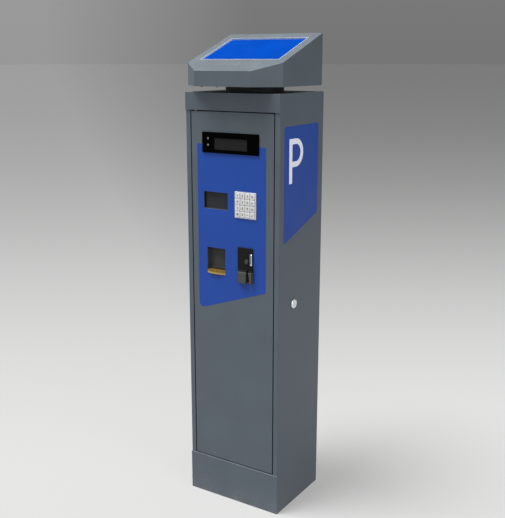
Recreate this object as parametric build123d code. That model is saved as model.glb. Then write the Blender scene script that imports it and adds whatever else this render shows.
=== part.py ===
"""Free-standing ticket vending machine with a swivelling screen head.

Millimetres. The origin is at floor level in the middle of the floor-bolt pattern.
+Z is up, -Y is the front and +X is the side that carries the lock.
Each function makes one sub-part, and the table at the end names its node.
"""

import os
from math import cos, hypot, radians, sin, sqrt, tan

from build123d import *

# ---------------------------------------------------------------- cabinet
cabinet_width = 330.0
cabinet_depth = 260.0
cabinet_height = 1300.0
sheet = 2.0
base_thickness = 4.0
plinth_height = 130.0
header_height = 52.0
front_step = 3.0
stile_width = 16.0
rear_flange = 16.0
corner_radius = 2.0
edge_round = 0.8

# ---------------------------------------------------------------- door
side_gap = 4.0
end_gap = 3.0
pan_depth = 16.0
pan_return = 14.0
pivot_inset = 12.0
pin_radius = 3.0
pin_clearance = 0.05
pin_engagement = 9.0
swing_clearance = 0.6
seal_width = 8.0
seal_inset = 1.0
seal_offset = 4.0
seal_relief = 0.4
land_cover = 0.5

# ---------------------------------------------------------------- floor fixing
anchor_spacing_x = 240.0
anchor_spacing_y = 170.0
anchor_hole_radius = 7.0
cable_entry_radius = 25.0

# ---------------------------------------------------------------- rear vents
vent_count = 7
vent_pitch = 16.0
vent_length = 170.0
vent_height = 5.0
vent_hood = 6.0
vent_top_drop = 120.0
screw_radius = 2.5
screw_head_radius = 4.5
screw_head_height = 2.4
screw_rows = 6
screw_end_inset = 30.0

# ---------------------------------------------------------------- lock
lock_height = 672.0
lock_setback = 88.0
lock_flange_radius = 15.0
lock_flange_thickness = 6.0
lock_barrel_radius = 9.5
plug_radius = 6.5
lock_clearance = 0.2
cam_thickness = 2.5
cam_width = 14.0
cam_length = 34.0
cam_crank = 8.0
cam_bend = 14.0
catch_thickness = 2.0
catch_height = 30.0
catch_drop = 14.0
catch_gap = 0.5
catch_sweep_clearance = 1.5

# ---------------------------------------------------------------- head
head_width = 330.0
head_depth = 290.0
head_overhang = 43.0
neck_height = 18.5
head_front_height = 44.0
head_tilt = 20.5
head_chamfer_x = 67.0
head_chamfer_y = 60.0
screen_width = 274.0
screen_height = 182.0
screen_front_margin = 89.5
trim_width = 1.6
trim_depth = 9.0
trim_clearance = 0.5
glass_recess = 4.8
glass_thickness = 3.0
computer_thickness = 28.0
computer_border = 5.0

# ---------------------------------------------------------------- turntable
neck_radius = 88.0
spigot_radius = 40.0
spigot_wall = 10.0
turntable_base_height = 10.0
bearing_gap = 0.3
stop_pin_radius = 4.0
stop_pin_circle = 64.0
stop_slot_depth = 5.0
stop_clearance = 0.3
swivel_limit = 45.0

# ---------------------------------------------------------------- price display
display_x = -3.8
display_z = 1154.5
display_width = 199.5
display_height = 61.0
display_proud = 4.0
display_radius = 2.0
window_x = -2.2
window_z = 1151.0
window_width = 118.0
window_height = 34.0
window_recess = 2.5
display_lap = 6.0
display_module_depth = 14.0
indicator_x = -81.5
indicator_z = (1166.5, 1147.0)
indicator_radius = 3.5
indicator_proud = 1.0

# ---------------------------------------------------------------- keypad
keypad_x = 49.3
keypad_z = 975.5
key_size = 15.0
key_gap = 0.25
key_bridge_x = 1.7
key_bridge_z = 3.1
key_rows = ("123a", "456b", "789c", "e0sd")
keypad_plate_thickness = 3.0
keypad_proud = 3.0
key_proud = 2.0
key_travel = 1.2
key_flange = 0.5
key_flange_thickness = 2.0
key_seat_gap = 0.05
keypad_body_depth = 22.0
keypad_body_wall = 1.0
keypad_lap = 1.9

# ---------------------------------------------------------------- code scanner
scanner_x = -58.5
scanner_z = 980.5
scanner_width = 87.0
scanner_height = 51.5
recess_wall = 1.5
recess_flange = 6.0
scanner_depth = 34.0
scanner_window_set = 7.5
scanner_window_thickness = 3.0
scanner_sill = 3.0
engine_width = 52.0
engine_height = 34.0

# ---------------------------------------------------------------- ticket outlet
ticket_x = -58.7
ticket_z = 793.5
ticket_width = 67.0
ticket_height = 81.5
ticket_depth = 16.0
ticket_back = 2.0
mouth_low = 14.0
mouth_height = 6.0
mouth_reach = 9.0
mouth_border = 2.0
mouth_slot = 2.6
lip_height = 13.5
lip_front_drop = 4.0
lip_bulge = 6.0
lip_clearance = 0.2

# ---------------------------------------------------------------- ticket printer
paper_width = 58.0
paper_radius = 38.0
spindle_radius = 6.0
roll_clearance = 0.08
cheek_gap = 2.0
cheek_thickness = 2.0
roll_setback = 44.0
roll_rise = 56.0
platen_radius = 6.0
platen_shaft_radius = 2.5
platen_setback = 26.0
platen_rise = 9.0
mechanism_depth = 14.0
mechanism_height = 34.0

# ---------------------------------------------------------------- coin unit
coin_x = 48.6
coin_z = 793.0
coin_width = 54.5
coin_height = 109.0
coin_plate_thickness = 3.0
coin_plate_radius = 3.0
coin_sleeve_lap = 1.5
coin_sleeve_wall = 1.5
coin_throat_depth = 20.0
coin_pocket_depth = 50.0
coin_body_depth = 85.0
entry_width = 6.5
entry_height = 35.0
entry_right_margin = 0.8
entry_top_margin = 16.0
entry_proud = 4.5
coin_slot_width = 2.8
coin_slot_height = 28.0
button_radius = 7.0
button_clearance = 0.25
button_offset_x = 8.0
button_offset_z = 14.0
button_proud = 6.5
button_length = 17.0
button_travel = 3.5
button_collar = 1.2
pocket_height = 36.0
pocket_bottom_margin = 5.5
cheek_proud = 8.0
cheek_left_width = 29.5
cheek_right_width = 11.5
cheek_left_margin = 5.7
cheek_right_margin = 0.8
cheek_foot_margin = 1.5
cheek_left_flare = 2.0
cheek_right_flare = 6.0
flap_thickness = 1.6
flap_setback = 8.0
flap_pin_radius = 1.5
flap_clearance = 0.4
chute_width = 30.0
chute_depth = 22.0
chute_wall = 1.5
chute_end_rise = 12.0

# ---------------------------------------------------------------- equipment inside
coin_box_width = 190.0
coin_box_length = 140.0
coin_box_height = 240.0
coin_box_wall = 1.5
coin_box_front_gap = 12.0
handle_width = 80.0
handle_rise = 22.0
handle_thickness = 5.0
supply_width = 100.0
supply_height = 172.0
supply_depth = 38.0
supply_x = -40.0
supply_z = 520.0
board_width = 170.0
board_height = 210.0
board_thickness = 1.6
board_standoff = 8.0
board_x = 0.0
board_z = 800.0

# ---------------------------------------------------------------- derived places
half_width = cabinet_width / 2
front = -cabinet_depth / 2
back = cabinet_depth / 2
inner_half = half_width - sheet
inner_back = back - sheet
door_face = front + front_step
door_skin = door_face + sheet
door_back = door_face + pan_depth
opening_low = plinth_height
opening_high = cabinet_height - header_height
stile_edge = half_width - stile_width
door_left = -stile_edge + side_gap
door_right = stile_edge - side_gap
door_low = opening_low + end_gap
door_high = opening_high - end_gap
pivot_x = door_left + pivot_inset
pivot_y = door_face + pan_depth / 2
land_face = pivot_y + hypot(pivot_inset, pan_depth / 2) + swing_clearance
seal_left = pivot_x + seal_offset
seal_right = door_right - seal_inset
seal_low = door_low + seal_inset
seal_high = door_high - seal_inset
land_left = seal_left + seal_width + land_cover
land_right = seal_right - seal_width - land_cover
land_low = seal_low + seal_width + land_cover
land_high = seal_high - seal_width - land_cover

lock_y = front + lock_setback
catch_rear = lock_y + cam_width / 2 + catch_gap + catch_thickness
catch_reach = land_right - pivot_x - catch_sweep_clearance
catch_edge = pivot_x + sqrt(catch_reach**2 - (catch_rear - pivot_y) ** 2)
cam_tip_inner = catch_edge - cam_thickness - catch_gap
barrel_end = cam_tip_inner + cam_crank + cam_thickness
catch_high = lock_height - catch_drop

neck_top = cabinet_height + neck_height
head_front = front - head_overhang
head_back = head_front + head_depth
head_half = head_width / 2
slope = tan(radians(head_tilt))
slope_low = neck_top + head_front_height

key_hole = key_size + 2 * key_gap
key_field = key_hole + 2 * key_flange
key_pitch_x = key_hole + key_bridge_x
key_pitch_z = key_hole + key_bridge_z
keypad_rim = 2 * (key_gap + keypad_body_wall)
body_width = 3 * key_pitch_x + key_field + keypad_rim
body_height = 3 * key_pitch_z + key_field + keypad_rim
keypad_cut_width = body_width + 2 * lip_clearance
keypad_cut_height = body_height + 2 * lip_clearance
keypad_width = keypad_cut_width + 2 * keypad_lap
keypad_height = keypad_cut_height + 2 * keypad_lap
keypad_face = door_face - keypad_proud

ticket_low = ticket_z - ticket_height / 2
ticket_plate_back = door_skin + ticket_depth + ticket_back
roll_y = ticket_plate_back + roll_setback
roll_z = ticket_z + roll_rise
platen_y = ticket_plate_back + platen_setback
platen_z = ticket_z + platen_rise
cheek_inner = paper_width / 2 + cheek_gap

coin_low = coin_z - coin_height / 2
coin_high = coin_z + coin_height / 2
coin_right = coin_x + coin_width / 2
coin_left = coin_x - coin_width / 2
pocket_low = coin_low + pocket_bottom_margin
pocket_high = pocket_low + pocket_height
sleeve_half = coin_width / 2 - coin_sleeve_lap
sleeve_low = coin_low + coin_sleeve_lap
sleeve_high = coin_high - coin_sleeve_lap
entry_x = coin_right - entry_right_margin - entry_width / 2
entry_z = coin_high - entry_top_margin - entry_height / 2
button_x = coin_x + button_offset_x
button_z = coin_z + button_offset_z
flap_y = door_face + flap_setback
flap_pivot_z = pocket_high - flap_pin_radius - flap_clearance
coin_box_top = base_thickness + coin_box_height
coin_box_front = land_face + sheet + coin_box_front_gap
chute_y = door_face + coin_body_depth - chute_depth / 2


# ---------------------------------------------------------------- shape helpers
def block(x0, x1, y0, y1, z0, z1):
    """A box between two corners."""
    middle = Pos((x0 + x1) / 2, (y0 + y1) / 2, (z0 + z1) / 2)
    return middle * Box(abs(x1 - x0), abs(y1 - y0), abs(z1 - z0))


def panel(x, z, width, height, y0, y1, radius=0.0):
    """A plate facing the front, centred at x and z, with rounded corners."""
    outline = RectangleRounded(width, height, radius) if radius else Rectangle(width, height)
    return extrude(Plane(origin=(x, y1, z), x_dir=(1, 0, 0), z_dir=(0, -1, 0)) * outline, y1 - y0)


def rod_x(y, z, radius, x0, x1):
    """A round bar along X."""
    return Pos((x0 + x1) / 2, y, z) * Rot(0, 90, 0) * Cylinder(radius, abs(x1 - x0))


def rod_y(x, z, radius, y0, y1):
    """A round bar along Y."""
    return Pos(x, (y0 + y1) / 2, z) * Rot(90, 0, 0) * Cylinder(radius, abs(y1 - y0))


def rod_z(x, y, radius, z0, z1):
    """A round bar along Z."""
    return Pos(x, y, (z0 + z1) / 2) * Cylinder(radius, abs(z1 - z0))


def prism_x(points, x0, x1):
    """A straight bar along X whose section is given as (y, z) points."""
    outline = Polyline(*[(0, y, z) for y, z in points], close=True)
    return Pos(x0, 0, 0) * extrude(make_face(outline), x1 - x0, dir=(1, 0, 0))


def prism_z(points, z0, z1):
    """A straight bar along Z whose section is given as (x, y) points."""
    outline = Polyline(*[(x, y, 0) for x, y in points], close=True)
    return Pos(0, 0, z0) * extrude(make_face(outline), z1 - z0, dir=(0, 0, 1))


def frame_ring(x0, x1, z0, z1, width, y0, y1):
    """A rectangular ring facing the front."""
    hole = block(x0 + width, x1 - width, y0 - 1, y1 + 1, z0 + width, z1 - width)
    return block(x0, x1, y0, y1, z0, z1) - hole


def front_edges(shape, y):
    """The straight edges of a shape that lie in the plane at depth y."""
    return shape.edges().filter_by_position(Axis.Y, y - 0.01, y + 0.01)


# ---------------------------------------------------------------- cabinet shell
def base_plate():
    plate = block(-inner_half, inner_half, door_face, inner_back, 0, base_thickness)
    for sx in (-1, 1):
        for sy in (-1, 1):
            x, y = sx * anchor_spacing_x / 2, sy * anchor_spacing_y / 2
            plate -= rod_z(x, y, anchor_hole_radius, -1, base_thickness + 1)
    return plate - rod_z(0, 0, cable_entry_radius, -1, base_thickness + 1)


def rounded_corner(side):
    """Takes the sharp front corner off a side panel, along the door opening only."""
    x0, y0 = side * half_width, door_face
    square = block(x0, x0 - side * corner_radius, y0, y0 + corner_radius, opening_low, opening_high)
    centre = rod_z(x0 - side * corner_radius, y0 + corner_radius, corner_radius, opening_low, opening_high)
    return square - centre


def side_panel(side):
    """One bent sheet: front stile with its door rebate, the side wall, and the rear flange."""
    land_x = land_left if side < 0 else land_right
    top = cabinet_height - sheet
    stile = side * stile_edge
    wall = block(side * inner_half, side * half_width, door_face, inner_back, 0, cabinet_height)
    flange = block(stile, side * inner_half, door_face, door_skin, base_thickness, top)
    lip = block(stile, stile + side * sheet, door_skin, land_face, opening_low, opening_high)
    land = block(land_x, stile + side * sheet, land_face, land_face + sheet, opening_low, opening_high)
    rear = block(side * (half_width - rear_flange), side * inner_half, inner_back - sheet, inner_back,
                 base_thickness, top)
    shape = wall + flange + lip + land + rear - rounded_corner(side)
    for x, z in screw_places():
        if x * side > 0:
            shape -= rod_y(x, z, screw_radius, inner_back - sheet - 1, inner_back + 1)
    return shape


def side_panel_right():
    hole_radius = lock_barrel_radius + lock_clearance
    return side_panel(1) - rod_x(lock_y, lock_height, hole_radius, inner_half - 1, half_width + 1)


def front_bar(z0, z1, edge_z, inward):
    """A front plate with a return and a seal land, at the top or bottom of the door opening."""
    face = block(-half_width, half_width, front, door_face, z0, z1)
    face = fillet(front_edges(face, front), edge_round)
    lip = block(-stile_edge, stile_edge, door_face, land_face + sheet, edge_z, edge_z - inward * sheet)
    land_z = land_high if inward < 0 else land_low
    land = block(land_left, land_right, land_face, land_face + sheet, edge_z, land_z)
    hole = rod_z(pivot_x, pivot_y, pin_radius + pin_clearance, edge_z - 3 * sheet, edge_z + 3 * sheet)
    return face + lip + land - hole


def header_front():
    return front_bar(opening_high, cabinet_height, opening_high, -1)


def plinth_front():
    return front_bar(0, opening_low, opening_low, 1)


def top_plate():
    low, high = cabinet_height - sheet, cabinet_height
    plate = block(-inner_half, inner_half, door_face, inner_back, low, high)
    return plate - rod_z(0, 0, spigot_radius - spigot_wall, low - 1, high + 1)


def screw_places():
    """Centres of the screws that hold the back panel, as (x, z)."""
    x = half_width - rear_flange / 2 - sheet / 2
    span = cabinet_height - 2 * screw_end_inset
    heights = [screw_end_inset + i * span / (screw_rows - 1) for i in range(screw_rows)]
    return [(side * x, z) for side in (-1, 1) for z in heights]


def vent_heights():
    top = cabinet_height - vent_top_drop
    return [top - i * vent_pitch for i in range(vent_count)]


def back_panel():
    """Flat sheet with a bank of pressed louvres near the top."""
    shape = block(-half_width, half_width, inner_back, back, 0, cabinet_height)
    half = vent_length / 2
    for z in vent_heights():
        lift = z + vent_height
        hood = [(back, lift + vent_hood), (back + vent_hood, z), (back + vent_hood - sheet, z), (back, lift)]
        shape += prism_x(hood, -half, half)
        shape -= block(-half + sheet, half - sheet, inner_back - 1, back + 1, z, lift)
    for x, z in screw_places():
        shape -= rod_y(x, z, screw_radius, inner_back - 1, back + 1)
    return shape


def back_panel_screws():
    parts = []
    for x, z in screw_places():
        head = rod_y(x, z, screw_head_radius, back, back + screw_head_height)
        socket = rod_y(x, z, screw_radius * 0.6, back + screw_head_height / 2, back + screw_head_height + 1)
        shank = rod_y(x, z, screw_radius - pin_clearance, inner_back - 2 * sheet, back)
        parts.append(head - socket + shank)
    return Compound(parts)


def hinge_pins():
    """Headed pins that pass through the header and the plinth into the door's pivot blocks."""
    radius = pin_radius
    upper = rod_z(pivot_x, pivot_y, radius, door_high - pin_engagement, opening_high + sheet)
    upper += rod_z(pivot_x, pivot_y, radius + sheet, opening_high + sheet, opening_high + 2 * sheet)
    lower = rod_z(pivot_x, pivot_y, radius, opening_low - sheet, door_low + pin_engagement)
    lower += rod_z(pivot_x, pivot_y, radius + sheet, opening_low - 2 * sheet, opening_low - sheet)
    return Compound([upper, lower])


# ---------------------------------------------------------------- side lock
def lock_barrel():
    outside = half_width + lock_flange_thickness
    flange = rod_x(lock_y, lock_height, lock_flange_radius, half_width, outside)
    rim = flange.edges().filter_by(GeomType.CIRCLE).sort_by(Axis.X)[-1]
    flange = fillet(rim, lock_flange_thickness * 0.6)
    barrel = rod_x(lock_y, lock_height, lock_barrel_radius, barrel_end, half_width)
    bore = rod_x(lock_y, lock_height, plug_radius + pin_clearance, barrel_end - 1, outside + 1)
    return flange + barrel - bore


def lock_plug():
    outside = half_width + lock_flange_thickness + lock_clearance
    plug = rod_x(lock_y, lock_height, plug_radius, barrel_end, outside)
    keyway = block(outside - 5, outside + 1, lock_y - 0.9, lock_y + 0.9,
                   lock_height - plug_radius * 0.6, lock_height + plug_radius * 0.6)
    return plug - keyway


def lock_cam():
    """Cranked lever on the end of the plug. It points to the front when unlocked."""
    low, high = lock_height - cam_width / 2, lock_height + cam_width / 2
    bend = lock_y - cam_bend
    tip = cam_tip_inner + cam_thickness
    hub_inner = barrel_end - cam_thickness
    hub = rod_x(lock_y, lock_height, cam_width / 2, hub_inner, barrel_end)
    arm = block(hub_inner, barrel_end, bend, lock_y, low, high)
    crank = block(cam_tip_inner, barrel_end, bend - cam_thickness, bend, low, high)
    end = block(cam_tip_inner, tip, lock_y - cam_length, bend, low, high)
    return hub + arm + crank + end


def door_catch():
    """Bracket on the door whose rear tab stands behind the cam when the lock is turned."""
    low = catch_high - catch_height
    inner = cam_tip_inner - catch_gap - catch_thickness
    foot = block(inner, inner + stile_width / 2, door_skin, door_skin + catch_thickness, low, catch_high)
    arm = block(inner, inner + catch_thickness, door_skin, catch_rear, low, catch_high)
    tab = block(inner, catch_edge, catch_rear - catch_thickness, catch_rear, low, catch_high)
    return foot + arm + tab


# ---------------------------------------------------------------- door
def door_cutouts():
    """The openings through the door skin, one for each device."""
    y0, y1 = door_face - 1, door_skin + 1
    lap = 2 * display_lap
    coin_lap = 2 * coin_sleeve_lap - 2 * flap_clearance
    return [
        panel(display_x, display_z, display_width - lap, display_height - lap, y0, y1),
        panel(keypad_x, keypad_z, keypad_cut_width, keypad_cut_height, y0, y1),
        panel(scanner_x, scanner_z, scanner_width, scanner_height, y0, y1),
        panel(ticket_x, ticket_z, ticket_width, ticket_height, y0, y1),
        panel(coin_x, coin_z, coin_width - coin_lap, coin_height - coin_lap, y0, y1),
    ]


def pivot_block(z0, z1):
    return block(door_left + sheet, pivot_x + 2 * pin_radius, door_skin, door_back - sheet, z0, z1)


def door_panel():
    """Folded pan: skin, four flanges, rear returns and a pivot block at each end of the hinge side."""
    outer = block(door_left, door_right, door_face, door_back, door_low, door_high)
    outer = fillet(front_edges(outer, door_face), edge_round)
    inner = block(door_left + sheet, door_right - sheet, door_skin, door_back - sheet,
                  door_low + sheet, door_high - sheet)
    mouth = block(seal_left + seal_width, door_right - pan_return, door_back - sheet - 1, door_back + 1,
                  door_low + pan_return, door_high - pan_return)
    shape = outer - inner - mouth
    thick = pin_engagement - sheet
    shape += pivot_block(door_high - sheet - thick, door_high - sheet)
    shape += pivot_block(door_low + sheet, door_low + sheet + thick)
    bore = pin_radius + pin_clearance
    shape -= rod_z(pivot_x, pivot_y, bore, door_high - pin_engagement - 1, door_high + 1)
    shape -= rod_z(pivot_x, pivot_y, bore, door_low - 1, door_low + pin_engagement + 1)
    for cutout in door_cutouts():
        shape -= cutout
    return shape


def door_seal():
    return frame_ring(seal_left, seal_right, seal_low, seal_high, seal_width,
                      door_back, land_face - seal_relief)


# ---------------------------------------------------------------- price display
def display_bezel():
    y0 = door_face - display_proud
    plate = panel(display_x, display_z, display_width, display_height, y0, door_face, display_radius)
    plate = fillet(front_edges(plate, y0), edge_round)
    plate -= panel(window_x, window_z, window_width, window_height, y0 - 1, door_face + 1)
    for z in indicator_z:
        plate -= rod_y(indicator_x, z, indicator_radius + pin_clearance, y0 - 1, door_face + 1)
    return plate


def display_module():
    """Display glass in the bezel's window, with its circuit housing behind it in the door's cutout."""
    lap = 2 * display_lap + 2 * lip_clearance
    glass_face = door_face - display_proud + window_recess
    glass = panel(window_x, window_z, window_width - 2 * lip_clearance, window_height - 2 * lip_clearance,
                  glass_face, door_face)
    return glass + panel(display_x, display_z, display_width - lap, display_height - lap,
                         door_face, door_face + display_module_depth)


def indicator_lenses():
    face = door_face - display_proud - indicator_proud
    lenses = []
    for z in indicator_z:
        lens = rod_y(indicator_x, z, indicator_radius, face, door_face)
        rim = lens.edges().filter_by(GeomType.CIRCLE).sort_by(Axis.Y)[0]
        lenses.append(fillet(rim, indicator_proud))
    return Compound(lenses)


# ---------------------------------------------------------------- keypad
def key_place(row, column):
    x = keypad_x + (column - 1.5) * key_pitch_x
    z = keypad_z - (row - 1.5) * key_pitch_z
    return x, z


def keypad_plate():
    y1 = keypad_face + keypad_plate_thickness
    plate = panel(keypad_x, keypad_z, keypad_width, keypad_height, keypad_face, y1, display_radius)
    plate = fillet(front_edges(plate, keypad_face), edge_round)
    for row in range(4):
        for column in range(4):
            x, z = key_place(row, column)
            plate -= panel(x, z, key_hole, key_hole, keypad_face - 1, y1 + 1)
    return plate


def keypad_body():
    """Switch housing behind the plate, with a cavity in which the key flanges travel."""
    y0 = keypad_face + keypad_plate_thickness
    wall = 2 * keypad_body_wall
    cavity = key_seat_gap + key_flange_thickness + key_travel + key_gap
    body = panel(keypad_x, keypad_z, body_width, body_height, y0, y0 + keypad_body_depth)
    return body - panel(keypad_x, keypad_z, body_width - wall, body_height - wall, y0 - 1, y0 + cavity)


def key(row, column):
    """A square metal key, held behind the plate by its own flange."""
    x, z = key_place(row, column)
    flange_face = keypad_face + keypad_plate_thickness + key_seat_gap
    face = keypad_face - key_proud
    cap = panel(x, z, key_size, key_size, face, flange_face + key_flange_thickness, display_radius)
    cap = fillet(front_edges(cap, face), edge_round)
    flange = panel(x, z, key_field, key_field, flange_face, flange_face + key_flange_thickness)
    return cap + flange


# ---------------------------------------------------------------- code scanner
def sleeve(x, z, width, height, y0, y1):
    """A rectangular tube behind the door skin, with a fixing flange against the skin."""
    wall = 2 * recess_wall
    flange = wall + 2 * recess_flange
    shape = panel(x, z, width + wall, height + wall, y0, y1)
    shape += panel(x, z, width + flange, height + flange, y0, y0 + recess_wall)
    return shape - panel(x, z, width, height, y0 - 1, y1 + 1)


def scanner_recess():
    low = scanner_z - scanner_height / 2
    window_face = door_face + scanner_window_set
    shape = sleeve(scanner_x, scanner_z, scanner_width, scanner_height, door_skin, door_skin + scanner_depth)
    sill = [(door_skin, low), (window_face, low), (window_face, low + scanner_sill)]
    half = scanner_width / 2
    return shape + prism_x(sill, scanner_x - half, scanner_x + half)


def scanner_window():
    y0 = door_face + scanner_window_set
    return panel(scanner_x, scanner_z, scanner_width, scanner_height, y0, y0 + scanner_window_thickness)


def scanner_engine():
    """Imager behind the window, on a plate that closes the back of the recess."""
    rear = door_skin + scanner_depth
    wall = 2 * recess_wall
    plate = panel(scanner_x, scanner_z, scanner_width + wall, scanner_height + wall, rear, rear + sheet)
    face = door_face + scanner_window_set + scanner_window_thickness + sheet
    imager = panel(scanner_x, scanner_z, engine_width, engine_height, face, rear)
    lens = rod_y(scanner_x, scanner_z, engine_height / 4, face - 1, face + sheet)
    return plate + imager - lens


# ---------------------------------------------------------------- ticket outlet
def ticket_recess():
    """Recess behind the door with a back plate and the printer's mouth standing out of it."""
    y_plate = door_skin + ticket_depth
    shape = sleeve(ticket_x, ticket_z, ticket_width, ticket_height, door_skin, ticket_plate_back)
    shape += panel(ticket_x, ticket_z, ticket_width, ticket_height, y_plate, ticket_plate_back)
    mouth_z = ticket_low + mouth_low + mouth_height / 2
    mouth_width = ticket_width - 2 * mouth_border
    shape += panel(ticket_x, mouth_z, mouth_width, mouth_height, y_plate - mouth_reach, y_plate)
    return shape - panel(ticket_x, mouth_z, paper_width + 1, mouth_slot, door_face, ticket_plate_back + 1)


def ticket_lip():
    """Translucent guide at the foot of the recess, with a bowed front edge."""
    half = ticket_width / 2 - lip_clearance
    rear = door_skin + ticket_depth
    low = ticket_low + lip_clearance
    edge = door_face + lip_clearance
    left, right = ticket_x - half, ticket_x + half
    bow = ThreePointArc((left, edge, 0), (ticket_x, door_face - lip_bulge, 0), (right, edge, 0))
    sides = Polyline((right, edge, 0), (right, rear, 0), (left, rear, 0), (left, edge, 0))
    shape = Pos(0, 0, low) * extrude(make_face([bow, sides]), lip_height, dir=(0, 0, 1))
    high = low + lip_height
    foremost, foot = door_face - 2 * lip_bulge, high - lip_front_drop
    fall = [(foremost, high + 1), (rear, high + 1), (rear, high),
            (door_face - lip_bulge, foot), (foremost, foot)]
    return shape - prism_x(fall, left - 1, right + 1)


# ---------------------------------------------------------------- ticket printer
def ticket_printer():
    """Two cheeks carrying the cutter block and the spindle for the paper roll."""
    y0 = ticket_plate_back
    low = ticket_low
    shape = None
    for side in (-1, 1):
        x = ticket_x + side * cheek_inner
        cheek = block(x, x + side * cheek_thickness, y0, roll_y + 2 * spindle_radius,
                      low, roll_z + 2 * spindle_radius)
        shape = cheek if shape is None else shape + cheek
    shape += rod_x(roll_y, roll_z, spindle_radius, ticket_x - cheek_inner, ticket_x + cheek_inner)
    mouth_z = low + mouth_low + mouth_height / 2
    cutter = block(ticket_x - cheek_inner, ticket_x + cheek_inner, y0, y0 + mechanism_depth,
                   low, low + mechanism_height)
    shape += cutter - panel(ticket_x, mouth_z, paper_width + 1, mouth_slot, y0 - 1, y0 + mechanism_depth + 1)
    bore = platen_shaft_radius + pin_clearance
    reach = cheek_inner + cheek_thickness + 1
    return shape - rod_x(platen_y, platen_z, bore, ticket_x - reach, ticket_x + reach)


def platen_roller():
    half = cheek_inner - lip_clearance
    reach = cheek_inner + cheek_thickness
    roller = rod_x(platen_y, platen_z, platen_radius, ticket_x - half, ticket_x + half)
    return roller + rod_x(platen_y, platen_z, platen_shaft_radius, ticket_x - reach, ticket_x + reach)


def paper_roll():
    half = paper_width / 2
    roll = rod_x(roll_y, roll_z, paper_radius, ticket_x - half, ticket_x + half)
    bore = spindle_radius + roll_clearance
    return roll - rod_x(roll_y, roll_z, bore, ticket_x - half - 1, ticket_x + half + 1)


# ---------------------------------------------------------------- coin unit
def coin_cheek(outer, inner, foot):
    """A raised finger guard that fills one side of the plate's opening.

    Its slot side runs from inner at the top out to foot, where the fingers reach in.
    """
    y0, y1 = door_face - coin_plate_thickness - cheek_proud, door_face
    top_y = y0 + cheek_proud / 2
    low = coin_low + cheek_foot_margin
    outline = Polyline((outer, 0, low), (foot, 0, low), (inner, 0, pocket_high),
                       (outer, 0, pocket_high), close=True)
    shape = Pos(0, y0, 0) * extrude(make_face(outline), y1 - y0, dir=(0, 1, 0))
    slant = [(y0 - 1, pocket_high + 1), (y0 - 1, pocket_high - cheek_proud), (y0, pocket_high - cheek_proud),
             (top_y, pocket_high), (top_y, pocket_high + 1)]
    return shape - prism_x(slant, coin_left, coin_right)


def coin_plate():
    """Front plate with finger guards, and behind it the sleeve that holds the acceptor."""
    y0 = door_face - coin_plate_thickness
    plate = panel(coin_x, coin_z, coin_width, coin_height, y0, door_face, coin_plate_radius)
    plate = fillet(front_edges(plate, y0), edge_round)
    throat = door_face + coin_throat_depth
    outer = block(coin_x - sleeve_half, coin_x + sleeve_half, door_face, throat, sleeve_low, sleeve_high)
    outer += block(coin_x - sleeve_half, coin_x + sleeve_half, door_face, door_face + coin_pocket_depth,
                   sleeve_low, pocket_high + coin_sleeve_wall)
    half = sleeve_half - coin_sleeve_wall
    inner = block(coin_x - half, coin_x + half, door_face, throat + 1,
                  pocket_high + coin_sleeve_wall, sleeve_high - coin_sleeve_wall)
    inner += block(coin_x - half, coin_x + half, door_face, door_face + coin_pocket_depth + 1,
                   pocket_low, pocket_high)
    shape = plate + outer - inner
    guard = coin_left + cheek_left_margin
    shape -= block(guard, coin_x + half, y0 - 1, door_face + 1, pocket_low, pocket_high)
    shape -= panel(entry_x, entry_z, entry_width, entry_height, y0 - 1, door_face + 1)
    shape -= rod_y(button_x, button_z, button_radius + button_clearance, y0 - 1, door_face + 1)
    left_slot = guard + cheek_left_width
    right_edge = coin_right - cheek_right_margin
    right_slot = right_edge - cheek_right_width
    shape += coin_cheek(guard, left_slot, left_slot - cheek_left_flare)
    shape += coin_cheek(right_edge, right_slot, right_slot + cheek_right_flare)
    pins = rod_x(flap_y, flap_pivot_z, flap_pin_radius + pin_clearance,
                 coin_x - sleeve_half - 1, coin_x + sleeve_half + 1)
    return shape - pins


def coin_entry():
    """Bright surround of the coin slot, which passes through the plate."""
    y0 = door_face - coin_plate_thickness - entry_proud
    y1 = door_face
    body = panel(entry_x, entry_z, entry_width, entry_height, y0, y1)
    body = fillet(front_edges(body, y0), edge_round)
    return body - panel(entry_x, entry_z, coin_slot_width, coin_slot_height, y0 - 1, y1 + 1)


def coin_return_button():
    y0 = door_face - coin_plate_thickness - button_proud
    shape = rod_y(button_x, button_z, button_radius, y0, y0 + button_length)
    rim = shape.edges().filter_by(GeomType.CIRCLE).sort_by(Axis.Y)[0]
    shape = fillet(rim, edge_round)
    collar = button_radius + button_clearance + button_collar
    return shape + rod_y(button_x, button_z, collar, door_face + lip_clearance, door_face + sheet)


def coin_return_flap():
    """Plate that hangs across the return pocket on two pin ends."""
    half = sleeve_half - coin_sleeve_wall - flap_clearance
    reach = sleeve_half
    y0, y1 = flap_y - flap_thickness / 2, flap_y + flap_thickness / 2
    plate = block(coin_x - half, coin_x + half, y0, y1, pocket_low + flap_clearance, flap_pivot_z)
    plate += rod_x(flap_y, flap_pivot_z, flap_pin_radius, coin_x - reach, coin_x + reach)
    return plate


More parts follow.
